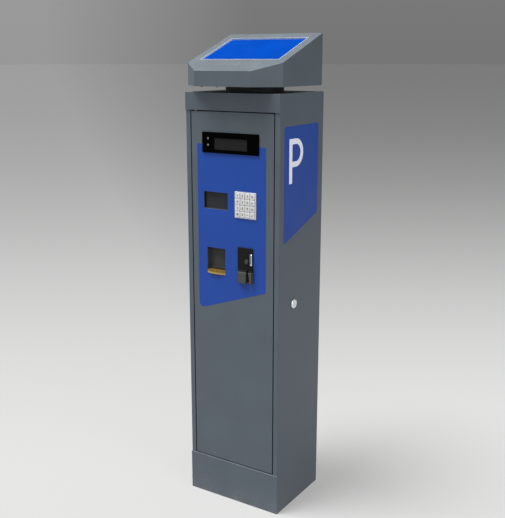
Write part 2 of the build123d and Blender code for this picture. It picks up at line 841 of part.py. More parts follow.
def coin_acceptor():
    """Coin checking unit behind the sleeve, with a drop passage at its rear foot."""
    half = sleeve_half
    rear = door_face + coin_body_depth
    upper = block(coin_x - half, coin_x + half, door_face + coin_throat_depth, rear,
                  pocket_high + coin_sleeve_wall, sleeve_high)
    lower = block(coin_x - half, coin_x + half, door_face + coin_pocket_depth, rear,
                  sleeve_low, pocket_high + coin_sleeve_wall)
    throat = panel(entry_x, entry_z, coin_slot_width, coin_slot_height,
                   door_face + coin_throat_depth - 1, door_face + coin_throat_depth + 30)
    inner_x, inner_y = chute_width / 2 - chute_wall, chute_depth / 2 - chute_wall
    drop = block(coin_x - inner_x, coin_x + inner_x, chute_y - inner_y, chute_y + inner_y,
                 sleeve_low - 1, pocket_high)
    return upper + lower - throat - drop


def coin_chute():
    half_x, half_y = chute_width / 2, chute_depth / 2
    low = coin_box_top + chute_end_rise
    outer = block(coin_x - half_x, coin_x + half_x, chute_y - half_y, chute_y + half_y, low, sleeve_low)
    inner_x, inner_y = half_x - chute_wall, half_y - chute_wall
    return outer - block(coin_x - inner_x, coin_x + inner_x, chute_y - inner_y, chute_y + inner_y,
                         low - 1, sleeve_low + 1)


# ---------------------------------------------------------------- equipment inside
def coin_box():
    """Open-topped box on the floor plate, under the chute, with a lifting handle on its rim."""
    half = coin_box_width / 2
    y0, y1 = coin_box_front, coin_box_front + coin_box_length
    wall = coin_box_wall
    shape = block(-half, half, y0, y1, base_thickness, coin_box_top)
    shape -= block(-half + wall, half - wall, y0 + wall, y1 - wall, base_thickness + wall, coin_box_top + 1)
    grip = block(-handle_width / 2, handle_width / 2, y1 - handle_thickness, y1,
                 coin_box_top, coin_box_top + handle_rise)
    reach = handle_width / 2 - handle_thickness
    gap = block(-reach, reach, y1 - handle_thickness - 1, y1 + 1,
                coin_box_top, coin_box_top + handle_rise - handle_thickness)
    tab = block(-handle_width / 2, handle_width / 2, y1 - handle_thickness, y1 - wall,
                coin_box_top - handle_rise, coin_box_top)
    return shape + grip + tab - gap


def power_supply():
    """Enclosed supply on the back panel, with its screw terminals on a step at the foot."""
    low, high = supply_z - supply_height / 2, supply_z + supply_height / 2
    left, right = supply_x - supply_width / 2, supply_x + supply_width / 2
    step = supply_height / 9
    shape = block(left, right, inner_back - supply_depth, inner_back, low + step, high)
    shape += block(left, right, inner_back - supply_depth / 3, inner_back, low, low + step)
    terminals = block(left + step / 2, right - step / 2, inner_back - supply_depth * 2 / 3,
                      inner_back - supply_depth / 3, low + step / 4, low + step)
    return shape + terminals


def control_board():
    """Circuit board on four pillars, with its heat sink, relays and connectors."""
    face = inner_back - board_standoff - board_thickness
    half_x, half_z = board_width / 2, board_height / 2
    board = block(board_x - half_x, board_x + half_x, face, face + board_thickness,
                  board_z - half_z, board_z + half_z)
    inset = board_standoff
    for sx in (-1, 1):
        for sz in (-1, 1):
            x, z = board_x + sx * (half_x - inset), board_z + sz * (half_z - inset)
            board += rod_y(x, z, board_standoff / 2, face + board_thickness, inner_back)
    board += block(board_x - 22, board_x + 22, face - 16, face, board_z + 20, board_z + 64)
    for i in range(4):
        x = board_x - half_x + 24 + i * 22
        board += block(x - 8, x + 8, face - 15, face, board_z - half_z + 16, board_z - half_z + 34)
    board += block(board_x - half_x + 4, board_x - half_x + 14, face - 10, face, board_z - 30, board_z + 70)
    connector = block(board_x + half_x - 18, board_x + half_x - 4, face - 12, face,
                      board_z - 60, board_z + 50)
    return board + connector


# ---------------------------------------------------------------- turntable
def turntable_base():
    """Fixed half of the swivel, with its spigot and stop pin."""
    low, high = cabinet_height, cabinet_height + turntable_base_height
    shape = rod_z(0, 0, neck_radius, low, high) + rod_z(0, 0, spigot_radius, high, neck_top - bearing_gap)
    shape -= rod_z(0, 0, spigot_radius - spigot_wall, low - 1, neck_top + 1)
    pin_top = high + stop_slot_depth
    return shape + rod_z(0, stop_pin_circle, stop_pin_radius, high, pin_top)


def turntable_top():
    """Moving half of the swivel, with the arc slot that limits its turn."""
    low, high = cabinet_height + turntable_base_height + bearing_gap, neck_top
    shape = rod_z(0, 0, neck_radius, low, high)
    shape -= rod_z(0, 0, spigot_radius + pin_clearance, low - 1, high + 1)
    slot_radius = stop_pin_radius + stop_clearance
    slot_top = low + stop_slot_depth
    slot = rod_z(0, 0, stop_pin_circle + slot_radius, low - 1, slot_top)
    slot -= rod_z(0, 0, stop_pin_circle - slot_radius, low - 2, slot_top + 1)
    half = radians(swivel_limit)
    far = 2 * neck_radius
    side_x, side_y = far * sin(half), far * cos(half)
    wedge = [(0, 0), (side_x, side_y), (0, far * sqrt(2)), (-side_x, side_y)]
    slot &= prism_z(wedge, low - 1, slot_top)
    for side in (-1, 1):
        x, y = side * stop_pin_circle * sin(half), stop_pin_circle * cos(half)
        slot += rod_z(x, y, slot_radius, low - 1, slot_top)
    return shape - slot


# ---------------------------------------------------------------- head
def head_plan(inset):
    """Outline of the head from above, moved inwards by inset."""
    cx, cy = head_chamfer_x, head_chamfer_y
    reach = 1 + inset * hypot(1 / cx, 1 / cy)
    half, y0, y1 = head_half - inset, head_front + inset, head_back - inset
    side_y = head_front + cy * (reach - inset / cx)
    front_x = head_half - cx * (reach - inset / cy)
    return [(-half, y1), (half, y1), (half, side_y), (front_x, y0), (-front_x, y0), (-half, side_y)]


def head_wedge(inset, low):
    """The head's wedge, with its top face lowered and its walls moved in by inset."""
    drop = inset / cos(radians(head_tilt))
    ends = head_front - 1, head_back + 1
    tops = [slope_low + (y - head_front) * slope - drop for y in ends]
    profile = [(ends[0], low), (ends[1], low), (ends[1], tops[1]), (ends[0], tops[0])]
    high = tops[1] + 1
    return prism_x(profile, -head_half, head_half) & prism_z(head_plan(inset), low, high)


def screen_plane(depth):
    """A plane in the middle of the screen, below the head's sloping face by depth."""
    along = screen_front_margin + screen_height / 2
    tilt = radians(head_tilt)
    y = head_front + along * cos(tilt) + depth * sin(tilt)
    z = slope_low + along * sin(tilt) - depth * cos(tilt)
    return Plane(origin=(0, y, z), x_dir=(1, 0, 0), z_dir=(0, -sin(tilt), cos(tilt)))


def screen_block(width, height, depth0, depth1):
    """A box square to the head's sloping face, from one depth to another."""
    return extrude(screen_plane(depth1) * Rectangle(width, height), depth1 - depth0)


def head_shell():
    outer = head_wedge(0, neck_top)
    outer = fillet(outer.edges().filter_by_position(Axis.Z, neck_top + 1, 2 * neck_top), edge_round)
    shape = outer - head_wedge(sheet, neck_top - 1)
    grow = 2 * trim_clearance
    return shape - screen_block(screen_width + grow, screen_height + grow, -sheet, 2 * sheet)


def head_base():
    plate = prism_z(head_plan(sheet), neck_top, neck_top + sheet)
    return plate - rod_z(0, 0, spigot_radius - spigot_wall, neck_top - 1, neck_top + sheet + 1)


def screen_trim():
    ring = screen_block(screen_width, screen_height, 0, trim_depth)
    inner = 2 * trim_width
    return ring - screen_block(screen_width - inner, screen_height - inner, -1, trim_depth + 1)


def touch_glass():
    inner = 2 * trim_width
    back_face = glass_recess + glass_thickness
    return screen_block(screen_width - inner, screen_height - inner, glass_recess, back_face)


def panel_computer():
    """Display and computer in one case, behind the glass and inside the trim."""
    start = glass_recess + glass_thickness
    inner = 2 * trim_width
    border = 2 * computer_border
    rear = trim_depth + computer_thickness
    case = screen_block(screen_width + border, screen_height + border, trim_depth, rear)
    return case + screen_block(screen_width - inner, screen_height - inner, start, trim_depth)


# ---------------------------------------------------------------- node table
parts = {
    "base_plate": base_plate(),
    "plinth_front": plinth_front(),
    "header_front": header_front(),
    "side_panel_left": side_panel(-1),
    "side_panel_right": side_panel_right(),
    "back_panel": back_panel(),
    "back_panel_screws": back_panel_screws(),
    "top_plate": top_plate(),
    "hinge_pins": hinge_pins(),
    "lock_barrel": lock_barrel(),
    "lock_plug": lock_plug(),
    "lock_cam": lock_cam(),
    "door_panel": door_panel(),
    "door_seal": door_seal(),
    "door_catch": door_catch(),
    "display_bezel": display_bezel(),
    "display_module": display_module(),
    "indicator_lenses": indicator_lenses(),
    "keypad_plate": keypad_plate(),
    "keypad_body": keypad_body(),
    "scanner_recess": scanner_recess(),
    "scanner_window": scanner_window(),
    "scanner_engine": scanner_engine(),
    "ticket_recess": ticket_recess(),
    "ticket_lip": ticket_lip(),
    "ticket_printer": ticket_printer(),
    "platen_roller": platen_roller(),
    "paper_roll": paper_roll(),
    "coin_plate": coin_plate(),
    "coin_entry": coin_entry(),
    "coin_return_button": coin_return_button(),
    "coin_return_flap": coin_return_flap(),
    "coin_acceptor": coin_acceptor(),
    "coin_chute": coin_chute(),
    "coin_box": coin_box(),
    "power_supply": power_supply(),
    "control_board": control_board(),
    "turntable_base": turntable_base(),
    "turntable_top": turntable_top(),
    "head_shell": head_shell(),
    "head_base": head_base(),
    "screen_trim": screen_trim(),
    "touch_glass": touch_glass(),
    "panel_computer": panel_computer(),
}
for row, names in enumerate(key_rows):
    for column, name in enumerate(names):
        parts[f"key_{name}"] = key(row, column)

os.makedirs("parts", exist_ok=True)
for name, shape in parts.items():
    export_step(shape, f"parts/{name}.step")
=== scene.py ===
"""Looks for the free-standing ticket machine: finishes, films, legends, small hardware and the studio."""

import logging
import math
from dataclasses import dataclass, field
from enum import Enum
from typing import Any, Iterable

import bmesh
import bpy
from mathutils import Matrix, Vector


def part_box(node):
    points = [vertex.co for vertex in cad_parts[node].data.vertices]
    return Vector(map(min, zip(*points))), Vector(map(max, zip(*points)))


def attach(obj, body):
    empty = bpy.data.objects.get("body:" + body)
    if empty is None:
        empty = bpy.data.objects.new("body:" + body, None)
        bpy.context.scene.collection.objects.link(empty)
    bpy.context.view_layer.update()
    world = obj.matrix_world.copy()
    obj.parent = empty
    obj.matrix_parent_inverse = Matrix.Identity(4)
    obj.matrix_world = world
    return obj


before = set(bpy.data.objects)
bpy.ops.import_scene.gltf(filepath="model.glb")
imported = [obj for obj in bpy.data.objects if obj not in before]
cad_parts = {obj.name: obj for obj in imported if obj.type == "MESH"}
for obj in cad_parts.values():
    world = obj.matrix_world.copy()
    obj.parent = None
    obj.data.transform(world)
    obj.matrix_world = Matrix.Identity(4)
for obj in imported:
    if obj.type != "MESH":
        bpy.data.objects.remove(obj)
LOG = logging.getLogger("ticket_machine")
MM = 0.001
SOFT_EDGE = 0.4 * MM
Colour = tuple[float, float, float]
Point = tuple[float, float]
Socket = bpy.types.NodeSocket
Node = bpy.types.Node
Tree = bpy.types.NodeTree
Mesh = bpy.types.Mesh
Object = bpy.types.Object


# ---------------------------------------------------------------- node helpers
class Graph:
    """Adds nodes to one tree and links them as they are made."""

    def __init__(self, tree: Tree) -> None:
        """Keeps the tree that every later call adds to."""
        self.tree = tree

    def add(self, kind: str, inputs: dict[Any, Any] | None = None, **settings: Any) -> Node:
        """Adds a node.

        Args:
            kind: the node's type name.
            inputs: socket name or index to a value, or to an output socket to link.
            settings: the node's own settings.

        Returns:
            The new node.
        """
        node = self.tree.nodes.new(kind)
        for key, value in settings.items():
            setattr(node, key, value)
        return self.feed(node, inputs or {})

    def feed(self, node: Node, inputs: dict[Any, Any]) -> Node:
        """Sets each named input to a value, or links an output socket to it, and returns the node."""
        for key, value in inputs.items():
            if isinstance(value, Socket):
                self.tree.links.new(value, node.inputs[key])
            else:
                node.inputs[key].default_value = value
        return node

    def math(self, operation: str, *values: Any) -> Socket:
        """Adds a Math node and returns its output."""
        return self.add("ShaderNodeMath", dict(enumerate(values)), operation=operation).outputs[0]

    def times(self, a: Any, b: Any) -> Socket:
        """Multiplies two values."""
        return self.math("MULTIPLY", a, b)

    def plus(self, a: Any, b: Any) -> Socket:
        """Adds two values."""
        return self.math("ADD", a, b)

    def part(self, vector: Socket, axis: int) -> Socket:
        """Takes one coordinate out of a vector: 0, 1 or 2."""
        return self.add("ShaderNodeSeparateXYZ", {0: vector}).outputs[axis]

    def dot(self, a: Any, b: Any) -> Socket:
        """Takes the dot product of two vectors."""
        return self.add("ShaderNodeVectorMath", {0: a, 1: b}, operation="DOT_PRODUCT").outputs["Value"]

    def mask(self, value: Socket, start: float, end: float) -> Socket:
        """Maps a value from start..end to 0..1, held at both ends."""
        return self.span(value, 0.0, 1.0, start, end)

    def mix(self, factor: Any, low: Any, high: Any) -> Socket:
        """Mixes two colours by a factor and returns the result."""
        node = self.add("ShaderNodeMix", {0: factor, 6: shade(low), 7: shade(high)}, data_type="RGBA")
        return node.outputs[2]

    def span(self, value: Socket, low: float, high: float, start: float = 0.0, end: float = 1.0) -> Socket:
        """Maps a value from start..end to low..high, held at both ends."""
        node = self.add("ShaderNodeMapRange", {0: value, 1: start, 2: end, 3: low, 4: high})
        return node.outputs[0]

    def noise(self, vector: Socket, scale: Any, detail: float = 3.0) -> Socket:
        """Adds a noise texture and returns its value."""
        return self.add("ShaderNodeTexNoise", {"Vector": vector, "Scale": scale, "Detail": detail}).outputs[0]

    def stretch(self, vector: Socket, scale: Colour, shift: Colour = (0.0, 0.0, 0.0)) -> Socket:
        """Scales and shifts coordinates."""
        return self.add("ShaderNodeMapping", {0: vector, 1: shift, 3: scale}).outputs[0]

    def group(self, tree: Tree, **inputs: Any) -> Node:
        """Places a node group with its inputs, named with underscores for spaces."""
        node = self.add("ShaderNodeGroup", node_tree=tree)
        return self.feed(node, {key.replace("_", " "): value for key, value in inputs.items()})


def shade(colour: Any) -> Any:
    """Gives a colour its alpha. A socket passes through."""
    return (*colour, 1.0) if isinstance(colour, tuple) and len(colour) == 3 else colour


def scaled(colour: Colour, factor: float, lift: float = 0.0) -> Colour:
    """A colour made darker or lighter, held below white."""
    return tuple(min(1.0, c * factor + lift) for c in colour)


# ---------------------------------------------------------------- shared effects
class Effect(Enum):
    """Surface effects that several finishes share."""

    POWDER_GRAIN = "Powder Grain"
    EDGE_RUB = "Edge Rub"
    SETTLED_DUST = "Settled Dust"
    HAND_SMUDGES = "Hand Smudges"
    BRUSH_LINES = "Brush Lines"


class Effects:
    """Makes each shared node group once and hands it out."""

    def __init__(self) -> None:
        """Starts with no group made."""
        self.made: dict[Effect, Tree] = {}

    def get(self, effect: Effect) -> Tree:
        """Returns the group of an effect, and makes it on first use."""
        if effect not in self.made:
            makers = {
                Effect.POWDER_GRAIN: self.powder_grain,
                Effect.EDGE_RUB: self.edge_rub,
                Effect.SETTLED_DUST: self.settled_dust,
                Effect.HAND_SMUDGES: self.hand_smudges,
                Effect.BRUSH_LINES: self.brush_lines,
            }
            self.made[effect] = makers[effect](effect.value)
        return self.made[effect]

    @staticmethod
    def start(name: str, inputs: dict[str, float | None], outputs: Iterable[str]) -> tuple[Graph, Any, Any]:
        """Makes an empty shader group.

        Args:
            name: the group's name.
            inputs: name to default value, or None for a vector.
            outputs: names of the value outputs.

        Returns:
            The graph, the group's input sockets and its output node.
        """
        tree = bpy.data.node_groups.new(name, "ShaderNodeTree")
        for label, value in inputs.items():
            kind = "NodeSocketVector" if value is None else "NodeSocketFloat"
            socket = tree.interface.new_socket(name=label, in_out="INPUT", socket_type=kind)
            if value is not None:
                socket.default_value = value
        for label in outputs:
            tree.interface.new_socket(name=label, in_out="OUTPUT", socket_type="NodeSocketFloat")
        graph = Graph(tree)
        return graph, graph.add("NodeGroupInput").outputs, graph.add("NodeGroupOutput")

    def powder_grain(self, name: str) -> Tree:
        """Orange-peel height with a faint cloudy variation in tone and gloss."""
        g, given, out = self.start(name, {"Vector": None, "Scale": 500.0}, ("Height", "Mottle", "Fleck"))
        peel = g.noise(given["Vector"], given["Scale"], 2.0)
        fine = g.noise(given["Vector"], g.times(given["Scale"], 3.7), 1.0)
        cloud = g.noise(given["Vector"], g.times(given["Scale"], 0.016), 4.0)
        fleck = g.noise(given["Vector"], g.times(given["Scale"], 0.45), 2.0)
        height = g.plus(peel, g.times(fine, 0.35))
        g.feed(out, {"Height": height, "Mottle": g.mask(cloud, 0.32, 0.68),
                     "Fleck": g.mask(fleck, 0.35, 0.65)})
        return g.tree

    def edge_rub(self, name: str) -> Tree:
        """Mask of edges where handling has rubbed the finish, broken up by noise."""
        g, given, out = self.start(name, {"Vector": None, "Width": 0.0012, "Breakup": 60.0}, ("Mask",))
        round_normal = g.add("ShaderNodeBevel", {"Radius": given["Width"]}, samples=4).outputs[0]
        flat_normal = g.add("ShaderNodeNewGeometry").outputs["True Normal"]
        dot = g.dot(round_normal, flat_normal)
        edge = g.span(dot, 1.0, 0.0, 0.82, 0.995)
        patch = g.mask(g.noise(given["Vector"], given["Breakup"], 5.0), 0.42, 0.62)
        g.feed(out, {"Mask": g.times(edge, patch)})
        return g.tree

    def settled_dust(self, name: str) -> Tree:
        """Mask of dust on faces that look up and of splash marks near the floor."""
        inputs = {"Vector": None, "Splash Height": 0.09, "Top": 0.5, "Foot": 0.5}
        g, given, out = self.start(name, inputs, ("Mask",))
        up = g.part(g.add("ShaderNodeNewGeometry").outputs["Normal"], 2)
        place = g.part(given["Vector"], 2)
        top = g.times(g.mask(up, 0.75, 1.0), given["Top"])
        low = g.math("SUBTRACT", 1.0, g.math("DIVIDE", place, given["Splash Height"]))
        foot = g.times(g.math("POWER", g.math("MAXIMUM", low, 0.0), 1.6), given["Foot"])
        speck = g.mask(g.noise(given["Vector"], 160.0, 6.0), 0.35, 0.7)
        cloud = g.span(g.noise(given["Vector"], 14.0, 3.0), 0.3, 1.0, 0.3, 0.7)
        both = g.times(g.plus(top, foot), g.times(speck, cloud))
        g.feed(out, {"Mask": g.math("MINIMUM", both, 1.0)})
        return g.tree

    def hand_smudges(self, name: str) -> Tree:
        """Mask of wiped fingerprints on glossy parts."""
        g, given, out = self.start(name, {"Vector": None, "Scale": 45.0}, ("Mask",))
        swirl = g.noise(given["Vector"], given["Scale"], 6.0)
        spot = g.add("ShaderNodeTexVoronoi", {"Vector": given["Vector"], "Scale": given["Scale"]},
                     feature="SMOOTH_F1").outputs["Distance"]
        streak = g.noise(g.stretch(given["Vector"], (1.0, 1.0, 0.16)), 120.0, 4.0)
        touched = g.times(g.mask(swirl, 0.45, 0.7), g.span(spot, 1.0, 0.0, 0.1, 0.6))
        g.feed(out, {"Mask": g.times(touched, g.span(streak, 0.3, 1.0, 0.3, 0.7))})
        return g.tree

    def brush_lines(self, name: str) -> Tree:
        """Fine parallel lines of rolled or brushed metal."""
        inputs = {"Vector": None, "Along": 12.0, "Across": 1800.0}
        g, given, out = self.start(name, inputs, ("Height", "Tone"))
        scale = g.add("ShaderNodeCombineXYZ", {0: given["Along"], 1: given["Across"],
                                               2: given["Across"]}).outputs[0]
        vector = g.add("ShaderNodeVectorMath", {0: given["Vector"], 1: scale},
                       operation="MULTIPLY").outputs[0]
        line = g.noise(vector, 1.0, 3.0)
        tone = g.noise(vector, 0.12, 2.0)
        g.feed(out, {"Height": line, "Tone": g.mask(tone, 0.3, 0.7)})
        return g.tree


EFFECTS = Effects()


def shared(g: Graph, effect: Effect, coords: Socket, **inputs: Any) -> Any:
    """Places a shared effect on the given coordinates and returns its output sockets."""
    return g.group(EFFECTS.get(effect), Vector=coords, **inputs).outputs


# ---------------------------------------------------------------- finishes
@dataclass(frozen=True)
class Finish:
    """A named surface. Each kind of finish fills in its own nodes.

    Attributes:
        name: the material's name.
        colour: base colour.
        roughness: base roughness.
    """

    name: str
    colour: Colour
    roughness: float = 0.5

    def material(self) -> bpy.types.Material:
        """Returns this finish's material, made on first use."""
        found = bpy.data.materials.get(self.name)
        if found is not None and found.use_nodes and found.get("dressed"):
            return found
        made = bpy.data.materials.new(self.name)
        made.name = self.name
        made.use_nodes = True
        made.node_tree.nodes.clear()
        graph = Graph(made.node_tree)
        surface = graph.add("ShaderNodeBsdfPrincipled")
        out = graph.add("ShaderNodeOutputMaterial")
        made.node_tree.links.new(surface.outputs[0], out.inputs[0])
        coords = graph.add("ShaderNodeTexCoord").outputs["Object"]
        self.paint(graph, surface, coords)
        made["dressed"] = True
        return made

    def paint(self, g: Graph, surface: Node, coords: Socket) -> None:
        """Fills in the surface. Each finish has its own way."""
        raise NotImplementedError

    @staticmethod
    def relief(g: Graph, surface: Node, height: Socket, depth: float, edge: float = 0.0) -> None:
        """Joins a height to the surface's normal.

        Args:
            g: the graph.
            surface: the surface node.
            height: the height from 0 to 1.
            depth: the height's real depth in metres.
            edge: radius that sharp edges are softened by, or 0 for none.
        """
        bump = g.add("ShaderNodeBump", {"Strength": 1.0, "Distance": depth, "Height": height})
        if edge > 0.0:
            soft = g.add("ShaderNodeBevel", {"Radius": edge}, samples=4).outputs[0]
            g.feed(bump, {"Normal": soft})
        g.feed(surface, {"Normal": bump.outputs[0]})


@dataclass(frozen=True)
class PowderCoat(Finish):
    """Baked powder paint on sheet steel, with peel, rubbed edges and settled dust."""

    grain: float = 520.0
    peel: float = 0.00005
    rub: float = 0.35
    rub_colour: Colour = (0.34, 0.36, 0.38)
    dust: float = 0.5
    foot: float = 0.6
    dust_colour: Colour = (0.36, 0.34, 0.31)
    edge: float = 0.0006
    specular: float = 0.42

    def paint(self, g: Graph, surface: Node, coords: Socket) -> None:
        """Lays tone, flecks, rubbed edges and dust over the paint."""
        grain = shared(g, Effect.POWDER_GRAIN, coords, Scale=self.grain)
        dark = scaled(self.colour, 0.93)
        light = scaled(self.colour, 1.07)
        colour = g.mix(grain["Mottle"], dark, light)
        colour = g.mix(g.times(grain["Fleck"], 0.10), colour, scaled(self.colour, 1.5))
        rub = shared(g, Effect.EDGE_RUB, coords, Width=0.0011, Breakup=55.0)
        colour = g.mix(g.times(rub["Mask"], self.rub), colour, self.rub_colour)
        dust = shared(g, Effect.SETTLED_DUST, coords, Top=self.dust, Foot=self.foot)
        colour = g.mix(g.times(dust["Mask"], 0.4), colour, self.dust_colour)
        rough = g.span(grain["Mottle"], self.roughness - 0.05, self.roughness + 0.05)
        rough = g.plus(rough, g.times(dust["Mask"], 0.22))
        g.feed(surface, {"Base Color": colour, "Roughness": rough, "Specular IOR Level": self.specular})
        self.relief(g, surface, grain["Height"], self.peel, self.edge)


@dataclass(frozen=True)
class MouldedPlastic(Finish):
    """Moulded plastic with a fine spark texture, polished where it is handled."""

    grain: float = 1500.0
    depth: float = 0.00003
    coat: float = 0.0
    smudge: float = 0.15
    lift: float = 0.008
    ior: float = 1.5

    def paint(self, g: Graph, surface: Node, coords: Socket) -> None:
        """Lays tone, texture and smudges over the plastic."""
        grain = shared(g, Effect.POWDER_GRAIN, coords, Scale=self.grain)
        rub = shared(g, Effect.EDGE_RUB, coords, Width=0.0007, Breakup=120.0)
        smudge = shared(g, Effect.HAND_SMUDGES, coords, Scale=60.0)
        lift = scaled(self.colour, 1.25, self.lift)
        colour = g.mix(g.times(grain["Mottle"], 0.35), self.colour, lift)
        worn = scaled(self.colour, 1.4, 3.0 * self.lift)
        colour = g.mix(g.times(rub["Mask"], 0.5), colour, worn)
        rough = g.span(grain["Fleck"], self.roughness - 0.04, self.roughness + 0.06)
        rough = g.plus(rough, g.times(smudge["Mask"], self.smudge))
        g.feed(surface, {"Base Color": colour, "Roughness": rough, "IOR": self.ior, "Coat Weight": self.coat,
                         "Coat Roughness": 0.08})
        self.relief(g, surface, grain["Height"], self.depth, SOFT_EDGE)


@dataclass(frozen=True)
class WorkedMetal(Finish):
    """Bare or plated metal with brush lines, darker where it is tarnished."""

    metallic: float = 1.0
    along: float = 14.0
    across: float = 1600.0
    depth: float = 0.00001
    tarnish: float = 0.25
    upper: Colour | None = None
    split: float = 0.0
    ior: float = 1.5

    def paint(self, g: Graph, surface: Node, coords: Socket) -> None:
        """Lays brush lines, tarnish and worn edges over the metal, and any coat on its upper part."""
        lines = shared(g, Effect.BRUSH_LINES, coords, Along=self.along, Across=self.across)
        smudge = shared(g, Effect.HAND_SMUDGES, coords, Scale=80.0)
        rub = shared(g, Effect.EDGE_RUB, coords, Width=0.0008, Breakup=90.0)
        dull = scaled(self.colour, 1.0 - self.tarnish)
        bright = scaled(self.colour, 1.12)
        colour = g.mix(lines["Tone"], self.colour, scaled(self.colour, 0.93))
        colour = g.mix(smudge["Mask"], colour, dull)
        colour = g.mix(rub["Mask"], colour, bright)
        rough = g.span(lines["Height"], self.roughness - 0.05, self.roughness + 0.07, 0.3, 0.7)
        rough = g.plus(rough, g.times(smudge["Mask"], 0.15))
        g.feed(surface, {"Metallic": self.metallic, "IOR": self.ior})
        if self.upper is not None:
            level = g.part(coords, 2)
            coated = g.mask(level, self.split - 0.0005, self.split + 0.0005)
            coat = g.mix(smudge["Mask"], self.upper, scaled(self.upper, 1.6, 0.002))
            colour = g.mix(coated, colour, coat)
            bare = g.math("SUBTRACT", 1.0, coated)
            g.feed(surface, {"Metallic": g.times(bare, self.metallic)})
        g.feed(surface, {"Base Color": colour, "Roughness": rough})
        self.relief(g, surface, lines["Height"], self.depth, SOFT_EDGE)


@dataclass(frozen=True)
class PrintedFilm(Finish):
    """Printed vinyl film, satin, with a fine print grain and a faint bubble relief."""

    grain: float = 900.0

    def paint(self, g: Graph, surface: Node, coords: Socket) -> None:
        """Lays print grain, cloudy ink and dust on the film."""
        grain = shared(g, Effect.POWDER_GRAIN, coords, Scale=self.grain)
        broad = g.mask(g.noise(coords, 5.0, 2.0), 0.3, 0.7)
        dark = scaled(self.colour, 0.94)
        light = scaled(self.colour, 1.06)
        colour = g.mix(broad, dark, light)
        colour = g.mix(g.times(grain["Fleck"], 0.12), colour,
                       scaled(self.colour, 1.25, 0.01))
        dust = shared(g, Effect.SETTLED_DUST, coords, Top=0.4, Foot=0.1)
        colour = g.mix(g.times(dust["Mask"], 0.2), colour, (0.4, 0.4, 0.4))
        rough = g.span(grain["Mottle"], self.roughness - 0.04, self.roughness + 0.05)
        g.feed(surface, {"Base Color": colour, "Roughness": rough, "Specular IOR Level": 0.3})
        ripple = g.plus(g.times(g.noise(coords, 38.0, 2.0), 0.8), grain["Height"])
        self.relief(g, surface, ripple, 0.00003)


@dataclass(frozen=True)
class LitScreen(Finish):
    """Lit display under glass: a pixel grid, an uneven backlight and smudged glass."""

    glow: float = 1.0
    pitch: float = 0.0006
    tilt: float = 20.5

    def paint(self, g: Graph, surface: Node, coords: Socket) -> None:
        """Lights the screen and lays glass over it."""
        level = g.add("ShaderNodeMapping", {0: coords, 2: (-math.radians(self.tilt), 0.0, 0.0)},
                      vector_type="POINT").outputs[0]
        cell = g.add("ShaderNodeTexBrick", {
            "Vector": level, "Color1": (1, 1, 1, 1), "Color2": (0.94, 0.96, 1, 1),
            "Mortar": (0.55, 0.6, 0.7, 1),
            "Scale": 1.0, "Mortar Size": self.pitch * 0.08, "Mortar Smooth": 0.5, "Brick Width": self.pitch,
            "Row Height": self.pitch}, offset=0.0).outputs[0]
        uneven = g.span(g.noise(coords, 7.0, 2.0), 0.9, 1.06, 0.3, 0.7)
        lit = g.mix(1.0, (0.0, 0.0, 0.0), self.colour)
        lit = g.add("ShaderNodeMix", {0: 1.0, 6: lit, 7: cell}, data_type="RGBA",
                    blend_type="MULTIPLY").outputs[2]
        glow = g.add("ShaderNodeVectorMath", {0: lit, "Scale": uneven}, operation="SCALE").outputs[0]
        smudge = shared(g, Effect.HAND_SMUDGES, coords, Scale=30.0)
        base = g.mix(g.times(smudge["Mask"], 0.03), (0.0005, 0.002, 0.006), (0.1, 0.11, 0.12))
        rough = g.span(smudge["Mask"], self.roughness, self.roughness + 0.2)
        g.feed(surface, {"Base Color": base, "Emission Color": glow, "Emission Strength": self.glow,
                         "Roughness": rough, "IOR": 1.01})
        self.relief(g, surface, g.noise(coords, 900.0, 2.0), 0.000004)


@dataclass(frozen=True)
class ClearPart(Finish):
    """Glass or clear plastic, with wipe marks and a faint flow relief."""

    ior: float = 1.49
    clear: float = 0.9
    flow: float = 60.0
    # foot, with the two heights below: an optional paler colour at the part's foot, painted light.
    foot: Colour | None = None
    painted_light_low: float = 0.0
    painted_light_high: float = 1.0

    def paint(self, g: Graph, surface: Node, coords: Socket) -> None:
        """Lays wipe marks and thickness colour on the clear part, and a paler colour at its foot that is
        painted light gathered at the lower edge.
        """
        smudge = shared(g, Effect.HAND_SMUDGES, coords, Scale=55.0)
        tone = g.mask(g.noise(coords, self.flow, 2.0), 0.3, 0.7)
        deep = scaled(self.colour, 0.86)
        colour = g.mix(tone, deep, self.colour)
        # Painted light: the colour turns paler below the given heights.
        if self.foot is not None:
            level = g.part(coords, 2)
            colour = g.mix(g.span(level, 1.0, 0.0, self.painted_light_low, self.painted_light_high), colour, self.foot)
        rough = g.span(smudge["Mask"], self.roughness, self.roughness + 0.25)
        g.feed(surface, {"Base Color": colour, "Roughness": rough, "IOR": self.ior,
                         "Transmission Weight": self.clear})
        self.relief(g, surface, g.noise(coords, self.flow * 4.0, 2.0), 0.00001, SOFT_EDGE)


